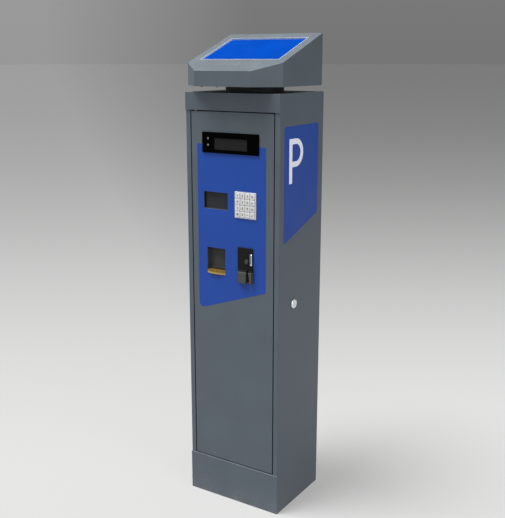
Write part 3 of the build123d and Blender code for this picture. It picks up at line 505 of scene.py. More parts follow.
@dataclass(frozen=True)
class SegmentWindow(Finish):
    """Unlit character display behind a dark window, with two rows of faint cells."""

    cell: float = 0.0066
    row: float = 0.0125

    def paint(self, g: Graph, surface: Node, coords: Socket) -> None:
        """Lays the faint cells in the window."""
        upright = g.add("ShaderNodeCombineXYZ", {0: g.part(coords, 0),
                                                 1: g.part(coords, 2)}).outputs[0]
        cells = g.add("ShaderNodeTexBrick", {
            "Vector": upright, "Color1": (1, 1, 1, 1), "Color2": (0.8, 0.8, 0.8, 1), "Mortar": (0, 0, 0, 1),
            "Scale": 1.0, "Mortar Size": 0.0011, "Mortar Smooth": 0.2, "Brick Width": self.cell,
            "Row Height": self.row}, offset=0.0).outputs[0]
        dots = g.add("ShaderNodeTexVoronoi", {"Vector": upright, "Scale": 900.0,
                                              "Randomness": 0.0}).outputs["Distance"]
        faint = g.times(g.span(cells, 0.0, 0.3), g.span(dots, 1.0, 0.4, 0.2, 0.6))
        lift = scaled(self.colour, 1.6, 0.003)
        colour = g.mix(faint, self.colour, lift)
        smudge = shared(g, Effect.HAND_SMUDGES, coords, Scale=50.0)
        rough = g.span(smudge["Mask"], self.roughness, self.roughness + 0.2)
        g.feed(surface, {"Base Color": colour, "Roughness": rough, "IOR": 1.2})
        self.relief(g, surface, g.noise(coords, 700.0, 2.0), 0.000005)


@dataclass(frozen=True)
class CircuitLacquer(Finish):
    """Circuit board lacquer with copper tracks showing through."""

    track: Colour = (0.06, 0.26, 0.11)

    def paint(self, g: Graph, surface: Node, coords: Socket) -> None:
        """Lays tracks and solder specks under the lacquer."""
        flat = g.stretch(coords, (1.0, 0.2, 1.0))
        lines = g.add("ShaderNodeTexVoronoi", {"Vector": flat, "Scale": 140.0, "Randomness": 0.55},
                      distance="MANHATTAN", feature="F1").outputs["Distance"]
        tracks = g.add("ShaderNodeTexWave", {"Vector": flat, "Scale": 130.0, "Distortion": 0.0},
                       bands_direction="Z").outputs[1]
        mask = g.times(g.mask(tracks, 0.55, 0.65), g.mask(lines, 0.15, 0.5))
        colour = g.mix(mask, self.colour, self.track)
        speck = g.add("ShaderNodeTexVoronoi", {"Vector": flat, "Scale": 260.0}).outputs["Distance"]
        colour = g.mix(g.span(speck, 0.8, 0.0, 0.08, 0.14), colour, (0.55, 0.54, 0.5))
        g.feed(surface, {"Base Color": colour,
                         "Roughness": g.span(mask, self.roughness, self.roughness + 0.12)})
        self.relief(g, surface, mask, 0.00004)


@dataclass(frozen=True)
class RolledPaper(Finish):
    """Thermal paper wound on a roll, with its turns showing on both ends."""

    centre: Colour = (0.0, 0.0, 0.0)

    def paint(self, g: Graph, surface: Node, coords: Socket) -> None:
        """Lays the turns round the roll's axis."""
        parts = g.add("ShaderNodeSeparateXYZ", {0: coords})
        dy = g.math("SUBTRACT", parts.outputs[1], self.centre[1])
        dz = g.math("SUBTRACT", parts.outputs[2], self.centre[2])
        radius = g.math("SQRT", g.plus(g.times(dy, dy), g.times(dz, dz)))
        wobble = g.times(g.noise(coords, 40.0, 2.0), 0.0006)
        turns = g.math("FRACT", g.times(g.plus(radius, wobble), 1400.0))
        band = g.mask(g.noise(coords, 25.0, 4.0), 0.3, 0.7)
        colour = g.mix(band, self.colour, scaled(self.colour, 0.92))
        colour = g.mix(g.times(g.span(turns, 1.0, 0.0, 0.0, 0.3), 0.35), colour,
                       scaled(self.colour, 0.6))
        g.feed(surface, {"Base Color": colour,
                         "Roughness": g.span(band, self.roughness - 0.05, self.roughness + 0.05)})
        self.relief(g, surface, turns, 0.00005)


@dataclass(frozen=True)
class StudioFloor(Finish):
    """Pale studio floor with painted light: its tone falls away into the grey of the surroundings behind the
    object as a painted pool of light round the machine, painted lighter to the left.

    Attributes:
        far: tone far away.
        far_left: tone far away at the left, painted lighter as light from the left.
        left_reach: how far left that is, as the sine of the bearing.
        ahead: the direction in which the tone falls away.
        across: the direction that counts as right.
        reach: distance at which half of the fall is done.
        fall: steepness of the fall.
        light: how much light reaches the open floor.
        glow: share of the floor's brightness that is emission, painted light that also lightens the cast
            shadow.
    """

    far: float = 0.18
    far_left: float = 0.32
    left_reach: float = 0.24
    ahead: Colour = (0.0, 1.0, 0.0)
    across: Colour = (1.0, 0.0, 0.0)
    reach: float = 3.1
    fall: float = 1.75
    light: float = 2.0
    glow: float = 0.4

    def paint(self, g: Graph, surface: Node, coords: Socket) -> None:
        """Lays the painted light, a soft falloff that is lighter to the left plus some emission, and a trace
        of floor texture.
        """
        depth = g.dot(coords, self.ahead)
        bearing = g.add("ShaderNodeVectorMath", {0: coords}, operation="NORMALIZE").outputs[0]
        right = g.dot(bearing, self.across)
        # Painted light from the left: the far tone is lighter towards the left.
        tone = g.span(right, self.far_left, self.far, -self.left_reach, 0.0)
        away = g.add("ShaderNodeCombineXYZ", {0: tone, 1: tone, 2: tone}).outputs[0]
        # Painted pool of light: the floor darkens with distance ahead of the camera.
        steep = g.math("POWER", g.math("DIVIDE", g.math("MAXIMUM", depth, 0.0), self.reach), self.fall)
        near = g.math("DIVIDE", 1.0, g.plus(1.0, steep))
        grain = g.span(g.noise(coords, 90.0, 5.0), 0.985, 1.01, 0.3, 0.7)
        level = g.mix(near, away, self.colour)
        share = g.times(grain, (1.0 - self.glow) / self.light)
        colour = g.add("ShaderNodeVectorMath", {0: level, "Scale": share}, operation="SCALE").outputs[0]
        # Part of the floor's brightness is emission: painted light that also lightens the machine's cast
        # shadow.
        g.feed(surface, {"Base Color": colour, "Emission Color": level, "Emission Strength": self.glow,
                         "Roughness": self.roughness, "IOR": 1.05})


class Finishes:
    """Every finish of the machine, by the maker's name."""

    BODY = PowderCoat("grey powder coat", (0.057, 0.073, 0.090), 0.46)
    DOOR = PowderCoat("door powder coat", (0.058, 0.074, 0.089), 0.46, foot=0.0)
    # The head's coat is the body's powder coat painted about 5 % lighter: painted light on the head's faces.
    HEAD_PAINTED_LIGHTER = PowderCoat("head powder coat painted lighter", (0.061, 0.079, 0.095), 0.44, foot=0.0)
    INSIDE_BLACK = PowderCoat("matt black coat", (0.016, 0.0165, 0.017), 0.55, grain=900.0, dust=0.2,
                              foot=0.0, rub_colour=(0.12, 0.12, 0.12))
    RECESS = PowderCoat("recess coat", (0.041, 0.041, 0.040), 0.55, grain=900.0, dust=0.0, foot=0.0,
                        rub_colour=(0.08, 0.08, 0.08), specular=0.2)
    SCANNER_RECESS = PowderCoat("scanner recess coat", (0.010, 0.011, 0.012), 0.6, grain=900.0, dust=0.0,
                                foot=0.0, rub_colour=(0.02, 0.02, 0.02), specular=0.1)
    ZINC = WorkedMetal("zinc plated steel", (0.58, 0.585, 0.59), 0.34)
    CHROME = WorkedMetal("bright chrome", (0.80, 0.81, 0.83), 0.10, across=700.0, depth=0.000004,
                         tarnish=0.08)
    KEY_METAL = WorkedMetal("satin key metal", (0.60, 0.60, 0.59), 0.42, metallic=0.35, tarnish=0.1)
    KEY_PLATE = WorkedMetal("keypad plate metal", (0.55, 0.57, 0.62), 0.36, metallic=0.5, tarnish=0.1)
    CAST = WorkedMetal("dark cast metal", (0.080, 0.079, 0.073), 0.45, metallic=0.6, along=300.0,
                       across=500.0, depth=0.00003, tarnish=0.3)
    COIN_FACE = WorkedMetal("coated cast metal", (0.080, 0.079, 0.073), 0.45, metallic=0.6, along=300.0,
                            across=500.0, depth=0.00003, tarnish=0.3,
                            upper=(0.006, 0.006, 0.006), split=0.7745, ior=1.2)
    RUBBER = MouldedPlastic("black rubber", (0.012, 0.012, 0.012), 0.7, smudge=0.0)
    BLACK_PLASTIC = MouldedPlastic("black moulded plastic", (0.014, 0.014, 0.017), 0.34)
    GLOSS_BLACK = MouldedPlastic("gloss black bezel", (0.0010, 0.0010, 0.0010), 0.3, grain=2200.0,
                                 depth=0.00001, lift=0.0006, ior=1.03)
    LENS = MouldedPlastic("smoked lens", (0.07, 0.07, 0.08), 0.15, coat=0.8, depth=0.000005)
    TRIM = MouldedPlastic("white screen trim", (0.42, 0.48, 0.54), 0.3, coat=0.3, grain=2600.0, depth=0.00001)
    LCD = SegmentWindow("character window", (0.0095, 0.0095, 0.010), 0.18)
    SMOKED = ClearPart("smoked scanner window", (0.035, 0.040, 0.045), 0.12, ior=1.25, clear=0.5)
    # The lip's paler gold band along its lower edge is a painted highlight of gathered light.
    AMBER = ClearPart("amber ticket lip", (0.17, 0.10, 0.02), 0.2, ior=1.3, clear=0.3,
                      foot=(0.44, 0.31, 0.07), painted_light_low=0.756, painted_light_high=0.761)
    SCREEN = LitScreen("lit blue screen", (0.0006, 0.10, 0.68), 0.10)
    SUPPLY = WorkedMetal("supply case", (0.62, 0.63, 0.64), 0.4, across=900.0)
    COMPUTER = WorkedMetal("computer case", (0.36, 0.37, 0.38), 0.45, across=900.0)
    BOARD = CircuitLacquer("circuit board", (0.018, 0.11, 0.045), 0.3)
    FILM = PrintedFilm("blue printed film", (0.004, 0.040, 0.240), 0.45)
    SYMBOL = PrintedFilm("white printed film", (0.64, 0.65, 0.74), 0.45)
    LEGEND = PrintedFilm("dark key legend", (0.02, 0.02, 0.025), 0.5)
    CAPACITOR = MouldedPlastic("capacitor sleeve", (0.02, 0.03, 0.06), 0.35)
    CHIP = MouldedPlastic("chip body", (0.012, 0.012, 0.012), 0.5)
    SCREW = WorkedMetal("screw steel", (0.62, 0.62, 0.63), 0.3, across=1200.0)
    BLACK_SCREW = WorkedMetal("blackened screw", (0.03, 0.03, 0.032), 0.4, across=1200.0)


# ---------------------------------------------------------------- mesh helpers
class Side(Enum):
    """The three faces that carry films. The value is the frame: across, up and outward."""

    FRONT = ((1, 0, 0), (0, 0, 1), (0, -1, 0))
    RIGHT = ((0, 1, 0), (0, 0, 1), (1, 0, 0))
    LEFT = ((0, -1, 0), (0, 0, 1), (-1, 0, 0))

    def placed(self, level: float) -> Matrix:
        """Returns the matrix that takes flat (across, up, outward) coordinates to this face.

        Args:
            level: how far the face lies from the origin along its outward direction.
        """
        across, up, outward = (Vector(v) for v in self.value)
        matrix = Matrix((across, up, outward)).transposed().to_4x4()
        matrix.translation = outward * level
        return matrix


def rounded(corners: list[Point], radii: list[float], steps: int = 8) -> list[Point]:
    """Rounds the corners of a polygon.

    Args:
        corners: the polygon's corners in order.
        radii: one radius per corner, 0 for a sharp one.
        steps: points per rounded corner.

    Returns:
        The outline's points.
    """
    outline: list[Point] = []
    count = len(corners)
    for i, radius in enumerate(radii):
        here = Vector(corners[i])
        before = (Vector(corners[i - 1]) - here).normalized()
        after = (Vector(corners[(i + 1) % count]) - here).normalized()
        if radius <= 0.0:
            outline.append((here.x, here.y))
            continue
        half = before.angle(after) / 2
        reach = radius / math.tan(half)
        centre = here + (before + after).normalized() * (radius / math.sin(half))
        start = here + before * reach - centre
        turn = start.angle_signed(here + after * reach - centre)
        for step in range(steps + 1):
            angle = -turn * step / steps
            spoke = Matrix.Rotation(angle, 2) @ start
            outline.append((centre.x + spoke.x, centre.y + spoke.y))
    return outline


def rectangle(low: Point, high: Point, radius: float = 0.0) -> list[Point]:
    """A rectangle's outline between two corners, with rounded corners."""
    corners = [low, (high[0], low[1]), high, (low[0], high[1])]
    return rounded(corners, [radius] * 4, 5)


def arc(centre: Point, radius: float, start: float, end: float, steps: int = 24) -> list[Point]:
    """Points on an arc, with angles in degrees."""
    turns = [math.radians(start + (end - start) * i / steps) for i in range(steps + 1)]
    return [(centre[0] + radius * math.cos(a), centre[1] + radius * math.sin(a)) for a in turns]


def show(name: str, data: bpy.types.ID) -> Object:
    """Adds an object to the scene."""
    made = bpy.data.objects.new(name, data)
    bpy.context.scene.collection.objects.link(made)
    return made


def evaluated(source: Object, name: str) -> Mesh:
    """Turns an object with its modifiers into a plain mesh, and removes the object."""
    bpy.context.view_layer.update()
    graph = bpy.context.evaluated_depsgraph_get()
    mesh = bpy.data.meshes.new_from_object(source.evaluated_get(graph))
    mesh.name = name
    bpy.data.objects.remove(source)
    return mesh


def flat_mesh(name: str, outlines: list[list[Point]], thickness: float) -> Mesh:
    """Fills outlines, with inner ones as holes, and gives the sheet its thickness.

    Args:
        name: the mesh's name.
        outlines: the closed outlines, in metres.
        thickness: the sheet's thickness. The sheet lies on both sides of its plane.

    Returns:
        The mesh, flat in X and Y.
    """
    curve = bpy.data.curves.new(name, "CURVE")
    curve.dimensions = "2D"
    curve.fill_mode = "BOTH"
    curve.extrude = thickness / 2
    for outline in outlines:
        spline = curve.splines.new("POLY")
        spline.points.add(len(outline) - 1)
        for point, (u, v) in zip(spline.points, outline):
            point.co = (u, v, 0.0, 1.0)
        spline.use_cyclic_u = True
    return baked(curve, name)


def baked(data: bpy.types.ID, name: str) -> Mesh:
    """Turns a curve or text into a mesh and removes the source.

    Args:
        data: the curve or text data.
        name: the new mesh's name.

    Returns:
        The mesh, with doubles merged and faces outward.
    """
    mesh = evaluated(show(name + "_source", data), name)
    bm = bmesh.new()
    bm.from_mesh(mesh)
    bmesh.ops.remove_doubles(bm, verts=bm.verts, dist=1e-6)
    bmesh.ops.recalc_face_normals(bm, faces=bm.faces)
    bm.to_mesh(mesh)
    bm.free()
    return mesh


def piece(name: str, mesh: Mesh, body: str, finish: Finish) -> Object:
    """Adds a finished mesh to the scene on a body.

    Args:
        name: the piece's name.
        mesh: its mesh, in place.
        body: the CAD body it rides on.
        finish: its finish.

    Returns:
        The piece's object.
    """
    mesh.materials.clear()
    mesh.materials.append(finish.material())
    made = show(name, mesh)
    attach(made, body)
    LOG.info("%s: %d faces on %s, %s", name, len(mesh.polygons), body, finish.name)
    return made


def dress(nodes: Iterable[str], finish: Finish) -> None:
    """Gives CAD nodes a finish."""
    for name in nodes:
        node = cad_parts[name]
        material = finish.material()
        if not node.material_slots:
            node.data.materials.append(material)
        for slot in node.material_slots:
            slot.material = material
        LOG.info("%s dressed in %s", name, finish.name)


# ---------------------------------------------------------------- repeated hardware
@dataclass
class HardwareGrid:
    """A grid of identical small parts, laid by one Geometry Nodes tree.

    Attributes:
        name: the piece's name.
        columns: parts along the first direction.
        rows: parts along the second direction.
        width: distance between the outer columns.
        height: distance between the outer rows.
        radius: radius of one part.
        depth: how far one part stands up.
        sides: sides of one part, such as 6 for a nut.
        taper: top radius over bottom radius.
        socket: radius of the hole in its top.
        spread: how much the size varies, from 0.
        seed: seed of that variation.
    """

    name: str
    columns: int
    rows: int
    width: float
    height: float
    radius: float
    depth: float
    sides: int = 16
    taper: float = 0.75
    socket: float = 0.0012
    spread: float = 0.0
    seed: int = 3

    TREE = "Hardware Grid"

    @classmethod
    def tree(cls) -> Tree:
        """Returns the shared tree, made on first use."""
        if cls.TREE in bpy.data.node_groups:
            return bpy.data.node_groups[cls.TREE]
        tree = bpy.data.node_groups.new(cls.TREE, "GeometryNodeTree")
        wanted = {
            "Columns": "Int", "Rows": "Int", "Width": "Float", "Height": "Float", "Radius": "Float",
            "Depth": "Float", "Sides": "Int", "Taper": "Float", "Socket Radius": "Float", "Spread": "Float",
            "Seed": "Int", "Turn": "Vector", "Place": "Vector", "Finish": "Material",
        }
        for label, kind in wanted.items():
            tree.interface.new_socket(name=label, in_out="INPUT", socket_type="NodeSocket" + kind)
        tree.interface.new_socket(name="Geometry", in_out="OUTPUT", socket_type="NodeSocketGeometry")
        g = Graph(tree)
        given = g.add("NodeGroupInput").outputs
        grid = g.add("GeometryNodeMeshGrid", {"Size X": given["Width"], "Size Y": given["Height"],
                                              "Vertices X": given["Columns"], "Vertices Y": given["Rows"]})
        top = g.times(given["Radius"], given["Taper"])
        body = g.add("GeometryNodeMeshCone", {"Vertices": given["Sides"], "Radius Top": top,
                                              "Radius Bottom": given["Radius"], "Depth": given["Depth"]})
        hole = g.add("GeometryNodeMeshCylinder", {"Vertices": 6, "Radius": given["Socket Radius"],
                                                  "Depth": given["Depth"]})
        lift = g.add("ShaderNodeCombineXYZ", {2: g.times(given["Depth"], 0.5)}).outputs[0]
        raised = g.add("GeometryNodeTransform", {"Geometry": hole.outputs["Mesh"], "Translation": lift})
        cut = g.add("GeometryNodeMeshBoolean", {"Mesh 1": body.outputs["Mesh"], "Mesh 2": raised.outputs[0]},
                    operation="DIFFERENCE")
        low = g.math("SUBTRACT", 1.0, given["Spread"])
        high = g.plus(1.0, given["Spread"])
        size = g.add("FunctionNodeRandomValue", {2: low, 3: high, "Seed": given["Seed"]}, data_type="FLOAT")
        laid = g.add("GeometryNodeInstanceOnPoints", {
            "Points": grid.outputs["Mesh"], "Instance": cut.outputs["Mesh"], "Scale": size.outputs[1]})
        placed = g.add("GeometryNodeTransform", {"Geometry": laid.outputs[0], "Translation": given["Place"],
                                                 "Rotation": given["Turn"]})
        real = g.add("GeometryNodeRealizeInstances", {"Geometry": placed.outputs[0]})
        done = g.add("GeometryNodeSetMaterial", {"Geometry": real.outputs[0], "Material": given["Finish"]})
        out = g.add("NodeGroupOutput")
        tree.links.new(done.outputs[0], out.inputs[0])
        return tree

    def lay(self, centre: Vector, turn: Colour, body: str, finish: Finish) -> Object:
        """Lays the grid on a surface and adds it as a piece.

        Args:
            centre: the middle of the grid on the surface.
            turn: Euler turn in radians that brings +Z to the surface's outward direction.
            body: the CAD body it rides on.
            finish: its finish.

        Returns:
            The piece's object.
        """
        tree = self.tree()
        values = {
            "Columns": self.columns, "Rows": self.rows, "Width": self.width, "Height": self.height,
            "Radius": self.radius, "Depth": self.depth, "Sides": self.sides, "Taper": self.taper,
            "Socket Radius": self.socket, "Spread": self.spread, "Seed": self.seed,
            "Turn": turn, "Place": tuple(centre), "Finish": finish.material(),
        }
        holder = show(self.name + "_tree", bpy.data.meshes.new(self.name + "_tree"))
        modifier = holder.modifiers.new("Hardware", "NODES")
        modifier.node_group = tree
        for item in tree.interface.items_tree:
            if item.in_out == "INPUT":
                modifier[item.identifier] = values[item.name]
        return piece(self.name, evaluated(holder, self.name), body, finish)


FACE_FRONT: Colour = (math.pi / 2, 0.0, 0.0)
FACE_BACK: Colour = (-math.pi / 2, 0.0, 0.0)
FACE_DOWN: Colour = (math.pi, 0.0, 0.0)


# ---------------------------------------------------------------- sub-assemblies
@dataclass
class FrontGraphic:
    """Blue printed film on the door, cut out round every device."""

    thickness: float = 0.25 * MM
    left: float = -124.5 * MM
    right: float = 119.5 * MM
    top: float = 1149.0 * MM
    left_low: float = 633.0 * MM
    right_low: float = 717.0 * MM
    left_corner: float = 15.0 * MM
    corner: float = 6.0 * MM
    gap: float = 0.3 * MM
    recess_rim: float = 7.5 * MM

    def around(self, node: str, inset: float, radius: float) -> list[Point]:
        """Outline of the cutout round a CAD node, seen from the front."""
        low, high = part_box(node)
        return rectangle((low.x + inset, low.z + inset), (high.x - inset, high.z - inset), radius)

    def outlines(self) -> list[list[Point]]:
        """The film's edge and its cutouts. The display covers part of the top edge."""
        low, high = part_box("display_bezel")
        notch_left, notch_right, notch_low = low.x - self.gap, high.x + self.gap, low.z - self.gap
        corners = [
            (self.left, self.left_low), (self.right, self.right_low), (self.right, self.top),
            (notch_right, self.top), (notch_right, notch_low), (notch_left, notch_low),
            (notch_left, self.top), (self.left, self.top),
        ]
        small = 1.5 * MM
        edge = rounded(corners, [self.left_corner, self.corner, self.corner, 0.0, small, small, 0.0, small])
        return [
            edge,
            self.around("scanner_window", -self.gap, 0.0),
            self.around("keypad_plate", -self.gap, 2.0 * MM),
            self.around("ticket_recess", self.recess_rim - self.gap, 0.0),
            self.around("coin_plate", -self.gap, 3.0 * MM),
        ]

    def build(self) -> Mesh:
        """Returns the film's mesh on the door."""
        mesh = flat_mesh("front_graphic", self.outlines(), self.thickness)
        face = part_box("door_panel")[0].y
        mesh.transform(Side.FRONT.placed(-face + self.thickness / 2))
        return mesh

    def dress(self) -> None:
        """Adds the film in its print finish."""
        piece("front_graphic", self.build(), "door", Finishes.FILM)


@dataclass
class SideGraphic:
    """Blue printed film and white parking letter on one side of the cabinet.

    Attributes:
        side: which side it is on.
    """

    side: Side
    thickness: float = 0.15 * MM
    letter_thickness: float = 0.08 * MM
    front: float = -102.5 * MM
    rear: float = 100.3 * MM
    front_high: float = 1207.0 * MM
    rear_high: float = 1209.0 * MM
    front_low: float = 864.0 * MM
    rear_low: float = 934.5 * MM
    corner: float = 8.0 * MM
    letter_left: float = -74.0 * MM
    letter_right: float = 7.0 * MM
    letter_low: float = 1041.0 * MM
    letter_high: float = 1171.0 * MM
    stroke: float = 17.5 * MM
    bowl_low: float = 1088.6 * MM

    def level(self) -> float:
        """Distance of the panel's face from the middle."""
        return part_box("back_panel")[1].x

    def film(self) -> Mesh:
        """Returns the blue film's mesh."""
        corners = [(self.front, self.front_low), (self.rear, self.rear_low), (self.rear, self.rear_high),
                   (self.front, self.front_high)]
        if self.side is Side.LEFT:
            corners = [(-y, z) for y, z in reversed(corners)]
        mesh = flat_mesh("film", [rounded(corners, [self.corner] * 4)], self.thickness)
        mesh.transform(self.side.placed(self.level() + self.thickness / 2))
        return mesh

    def letter(self) -> Mesh:
        """Returns the letter's mesh: a stem and a half-round bowl with its opening."""
        left, right = self.letter_left, self.letter_right
        if self.side is Side.LEFT:
            left, right = -self.letter_right, -self.letter_left
        top, low, bowl = self.letter_high, self.letter_low, self.bowl_low
        outer = (top - bowl) / 2
        inner = outer - self.stroke * 0.92
        centre = (right - outer, bowl + outer)
        outline = [(left, low), (left + self.stroke, low), (left + self.stroke, bowl)]
        outline += arc(centre, outer, -90.0, 90.0) + [(left, top)]
        hole = [(left + self.stroke, centre[1] - inner)] + arc(centre, inner, -90.0, 90.0)
        hole += [(left + self.stroke, centre[1] + inner)]
        mesh = flat_mesh("letter", [outline, hole], self.letter_thickness)
        mesh.transform(self.side.placed(self.level() + self.thickness + self.letter_thickness / 2))
        return mesh

    def dress(self) -> None:
        """Adds the film and the letter."""
        word = self.side.name.lower()
        piece(f"side_graphic_{word}", self.film(), "cabinet", Finishes.FILM)
        piece(f"parking_letter_{word}", self.letter(), "cabinet", Finishes.SYMBOL)


@dataclass
class KeyLegends:
    """Engraved and filled legends on the sixteen keys.

    Attributes:
        size: height of a digit.
        lift: how far the filling stands off the key.
    """

    size: float = 8.4 * MM
    lift: float = 0.12 * MM
    stroke: float = 1.3 * MM
    signs: dict[str, str] = field(default_factory=lambda: {
        "a": "cross", "b": "arrow", "c": "ring", "d": "tick", "e": "bars", "s": "dots"})

    def digit(self, text: str) -> Mesh:
        """Returns a flat digit."""
        font = bpy.data.curves.new("digit", "FONT")
        font.body = text
        font.size = self.size * 1.25
        font.align_x, font.align_y = "CENTER", "CENTER"
        font.extrude = self.lift / 2
        font.offset = 0.12 * MM
        font.resolution_u = 4
        return baked(font, "digit")

    def sign(self, kind: str) -> Mesh:
        """Returns a flat sign made of bars and rings."""
        reach, half = self.size * 0.42, self.stroke / 2
        bar = [(-reach, -half), (reach, -half), (reach, half), (-reach, half)]

        def turned(points: list[Point], degrees: float, dx: float = 0.0, dy: float = 0.0) -> list[Point]:
            """Turns and shifts an outline."""
            c, s = math.cos(math.radians(degrees)), math.sin(math.radians(degrees))
            return [(x * c - y * s + dx, x * s + y * c + dy) for x, y in points]

        def plus(degrees: float) -> list[Point]:
            """One outline of two crossed bars."""
            quarter = [(half, half), (reach, half), (reach, -half), (half, -half)]
            points: list[Point] = []
            for i in range(4):
                points += turned(quarter[1:4], -90.0 * i + degrees)
            return points

        shapes = {
            "cross": [plus(45.0)],
            "arrow": [[(-reach, 0.0), (0.0, -reach), (0.0, -half), (reach, -half), (reach, half), (0.0, half),
                       (0.0, reach)]],
            "ring": [arc((0, 0), reach, 0, 345, 23), arc((0, 0), reach - self.stroke, 0, 345, 23)],
            "tick": [[(-reach, 0.0), (-reach + half, half * 2), (-half, -half), (reach, reach),
                      (reach + half, reach - half), (-half, -reach)]],
            "bars": [turned(bar, 0, 0, reach * 0.6), turned(bar, 0), turned(bar, 0, 0, -reach * 0.6)],
            "dots": [arc((dx, 0), half * 1.3, 0, 330, 11) for dx in (-reach * 0.75, 0.0, reach * 0.75)],
        }
        return flat_mesh(kind, shapes[kind], self.lift)

    def dress(self) -> None:
        """Adds one legend to each key."""
        for name in "0123456789abcdes":
            low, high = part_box("key_" + name)
            mesh = self.sign(self.signs[name]) if name in self.signs else self.digit(name)
            place = Side.FRONT.placed(-low.y + self.lift / 2)
            place.translation += Vector(((low.x + high.x) / 2, 0.0, (low.z + high.z) / 2))
            mesh.transform(place)
            piece(f"legend_{name}", mesh, "key_body_" + name, Finishes.LEGEND)


@dataclass
class Cabinet:
    """The fixed cabinet with its base, panels, lock barrel and the equipment on its back panel."""

    painted: tuple[str, ...] = ("base_plate", "plinth_front", "header_front", "side_panel_left",
                                "side_panel_right", "back_panel", "top_plate")
    terminal_radius: float = 2.6 * MM
    chip_radius: float = 8.0 * MM
    capacitor_radius: float = 4.0 * MM

    def terminals(self) -> None:
        """Adds the screw terminals along the foot of the power supply."""
        low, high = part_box("power_supply")
        face = low.y + (high.y - low.y) / 3
        centre = Vector(((low.x + high.x) / 2, face - 0.9 * MM, low.z + 11.5 * MM))
        grid = HardwareGrid("supply_terminal_screws", 6, 1, high.x - low.x - 32 * MM, 0.0,
                            self.terminal_radius, 1.8 * MM, 14, 0.85, 1.1 * MM)
        grid.lay(centre, FACE_FRONT, "cabinet", Finishes.SCREW)

    def components(self) -> None:
        """Adds chips, capacitors and board screws to the control board."""
        low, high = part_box("control_board")
        middle = (low + high) / 2
        face = high.y - 9.6 * MM
        chips = HardwareGrid("board_chips", 3, 2, 64 * MM, 44 * MM, self.chip_radius, 1.8 * MM, 4, 0.94,
                             0.8 * MM, 0.18, 5)
        chips.lay(Vector((middle.x + 6 * MM, face - 0.9 * MM, middle.z - 22 * MM)), FACE_FRONT, "cabinet",
                  Finishes.CHIP)
        caps = HardwareGrid("board_capacitors", 4, 1, 60 * MM, 0.0, self.capacitor_radius, 9.0 * MM, 20, 0.97,
                            1.4 * MM, 0.25, 11)
        caps.lay(Vector((middle.x - 4 * MM, face - 4.5 * MM, high.z - 14 * MM)), FACE_FRONT, "cabinet",
                 Finishes.CAPACITOR)
        corners = HardwareGrid("board_screws", 2, 2, high.x - low.x - 16 * MM, high.z - low.z - 16 * MM,
                               3.2 * MM, 1.6 * MM, 16, 0.8, 1.2 * MM)
        corners.lay(Vector((middle.x, face - 0.8 * MM, middle.z)), FACE_FRONT, "cabinet",
                    Finishes.SCREW)

    def dress(self) -> None:
        """Finishes the cabinet's nodes and adds its small hardware."""
        dress(self.painted, Finishes.BODY)
        dress(("back_panel_screws", "hinge_pins", "coin_box"), Finishes.ZINC)
        dress(("lock_barrel", "lock_plug"), Finishes.CHROME)
        dress(("lock_cam",), Finishes.ZINC)
        dress(("turntable_base", "turntable_top"), Finishes.INSIDE_BLACK)
        dress(("power_supply",), Finishes.SUPPLY)
        dress(("control_board",), Finishes.BOARD)
        self.terminals()
        self.components()


@dataclass
class Door:
    """The door with its devices, and the nuts that hold them from behind."""

    nut_radius: float = 3.4 * MM
    nut_depth: float = 3.0 * MM
    skin: float = 2.0 * MM

    def nuts(self, node: str, columns: int, rows: int, inset: float) -> None:
        """Adds the nuts behind one device.

        Args:
            node: the device's CAD node.
            columns: nuts across.
            rows: nuts up.
            inset: distance of the nuts inside the node's outline.
        """
        low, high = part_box(node)
        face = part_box("door_panel")[0].y + self.skin + 1.5 * MM
        centre = Vector(((low.x + high.x) / 2, face + self.nut_depth / 2, (low.z + high.z) / 2))
        grid = HardwareGrid(node + "_nuts", columns, rows, high.x - low.x - 2 * inset,
                            high.z - low.z - 2 * inset, self.nut_radius, self.nut_depth, 6, 0.98, 1.5 * MM)
        grid.lay(centre, FACE_BACK, "door", Finishes.SCREW)

    def dress(self) -> None:
        """Finishes the door's nodes and adds the nuts."""
        dress(("door_panel",), Finishes.DOOR)
        dress(("door_seal",), Finishes.RUBBER)
        dress(("door_catch", "coin_chute"), Finishes.ZINC)
        dress(("display_bezel",), Finishes.GLOSS_BLACK)
        dress(("display_module",), Finishes.LCD)
        dress(("indicator_lenses",), Finishes.LENS)
        dress(("keypad_plate",), Finishes.KEY_PLATE)
        dress(["key_" + name for name in "0123456789abcdes"], Finishes.KEY_METAL)
        dress(("keypad_body", "scanner_engine", "ticket_printer", "coin_acceptor"), Finishes.BLACK_PLASTIC)
        dress(("scanner_recess",), Finishes.SCANNER_RECESS)
        dress(("ticket_recess",), Finishes.RECESS)
        dress(("scanner_window",), Finishes.SMOKED)
        dress(("ticket_lip",), Finishes.AMBER)
        dress(("platen_roller",), Finishes.RUBBER)
        low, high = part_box("paper_roll")
        middle = (low + high) / 2
        paper = RolledPaper("thermal paper", (0.82, 0.82, 0.78), 0.7, centre=(0.0, middle.y, middle.z))
        dress(("paper_roll",), paper)
        dress(("coin_plate",), Finishes.COIN_FACE)
        dress(("coin_return_flap",), Finishes.CAST)
        dress(("coin_return_button",), Finishes.BLACK_PLASTIC)
        dress(("coin_entry",), Finishes.CHROME)
        self.nuts("scanner_recess", 3, 2, 3.6 * MM)
        self.nuts("ticket_recess", 2, 2, 3.6 * MM)


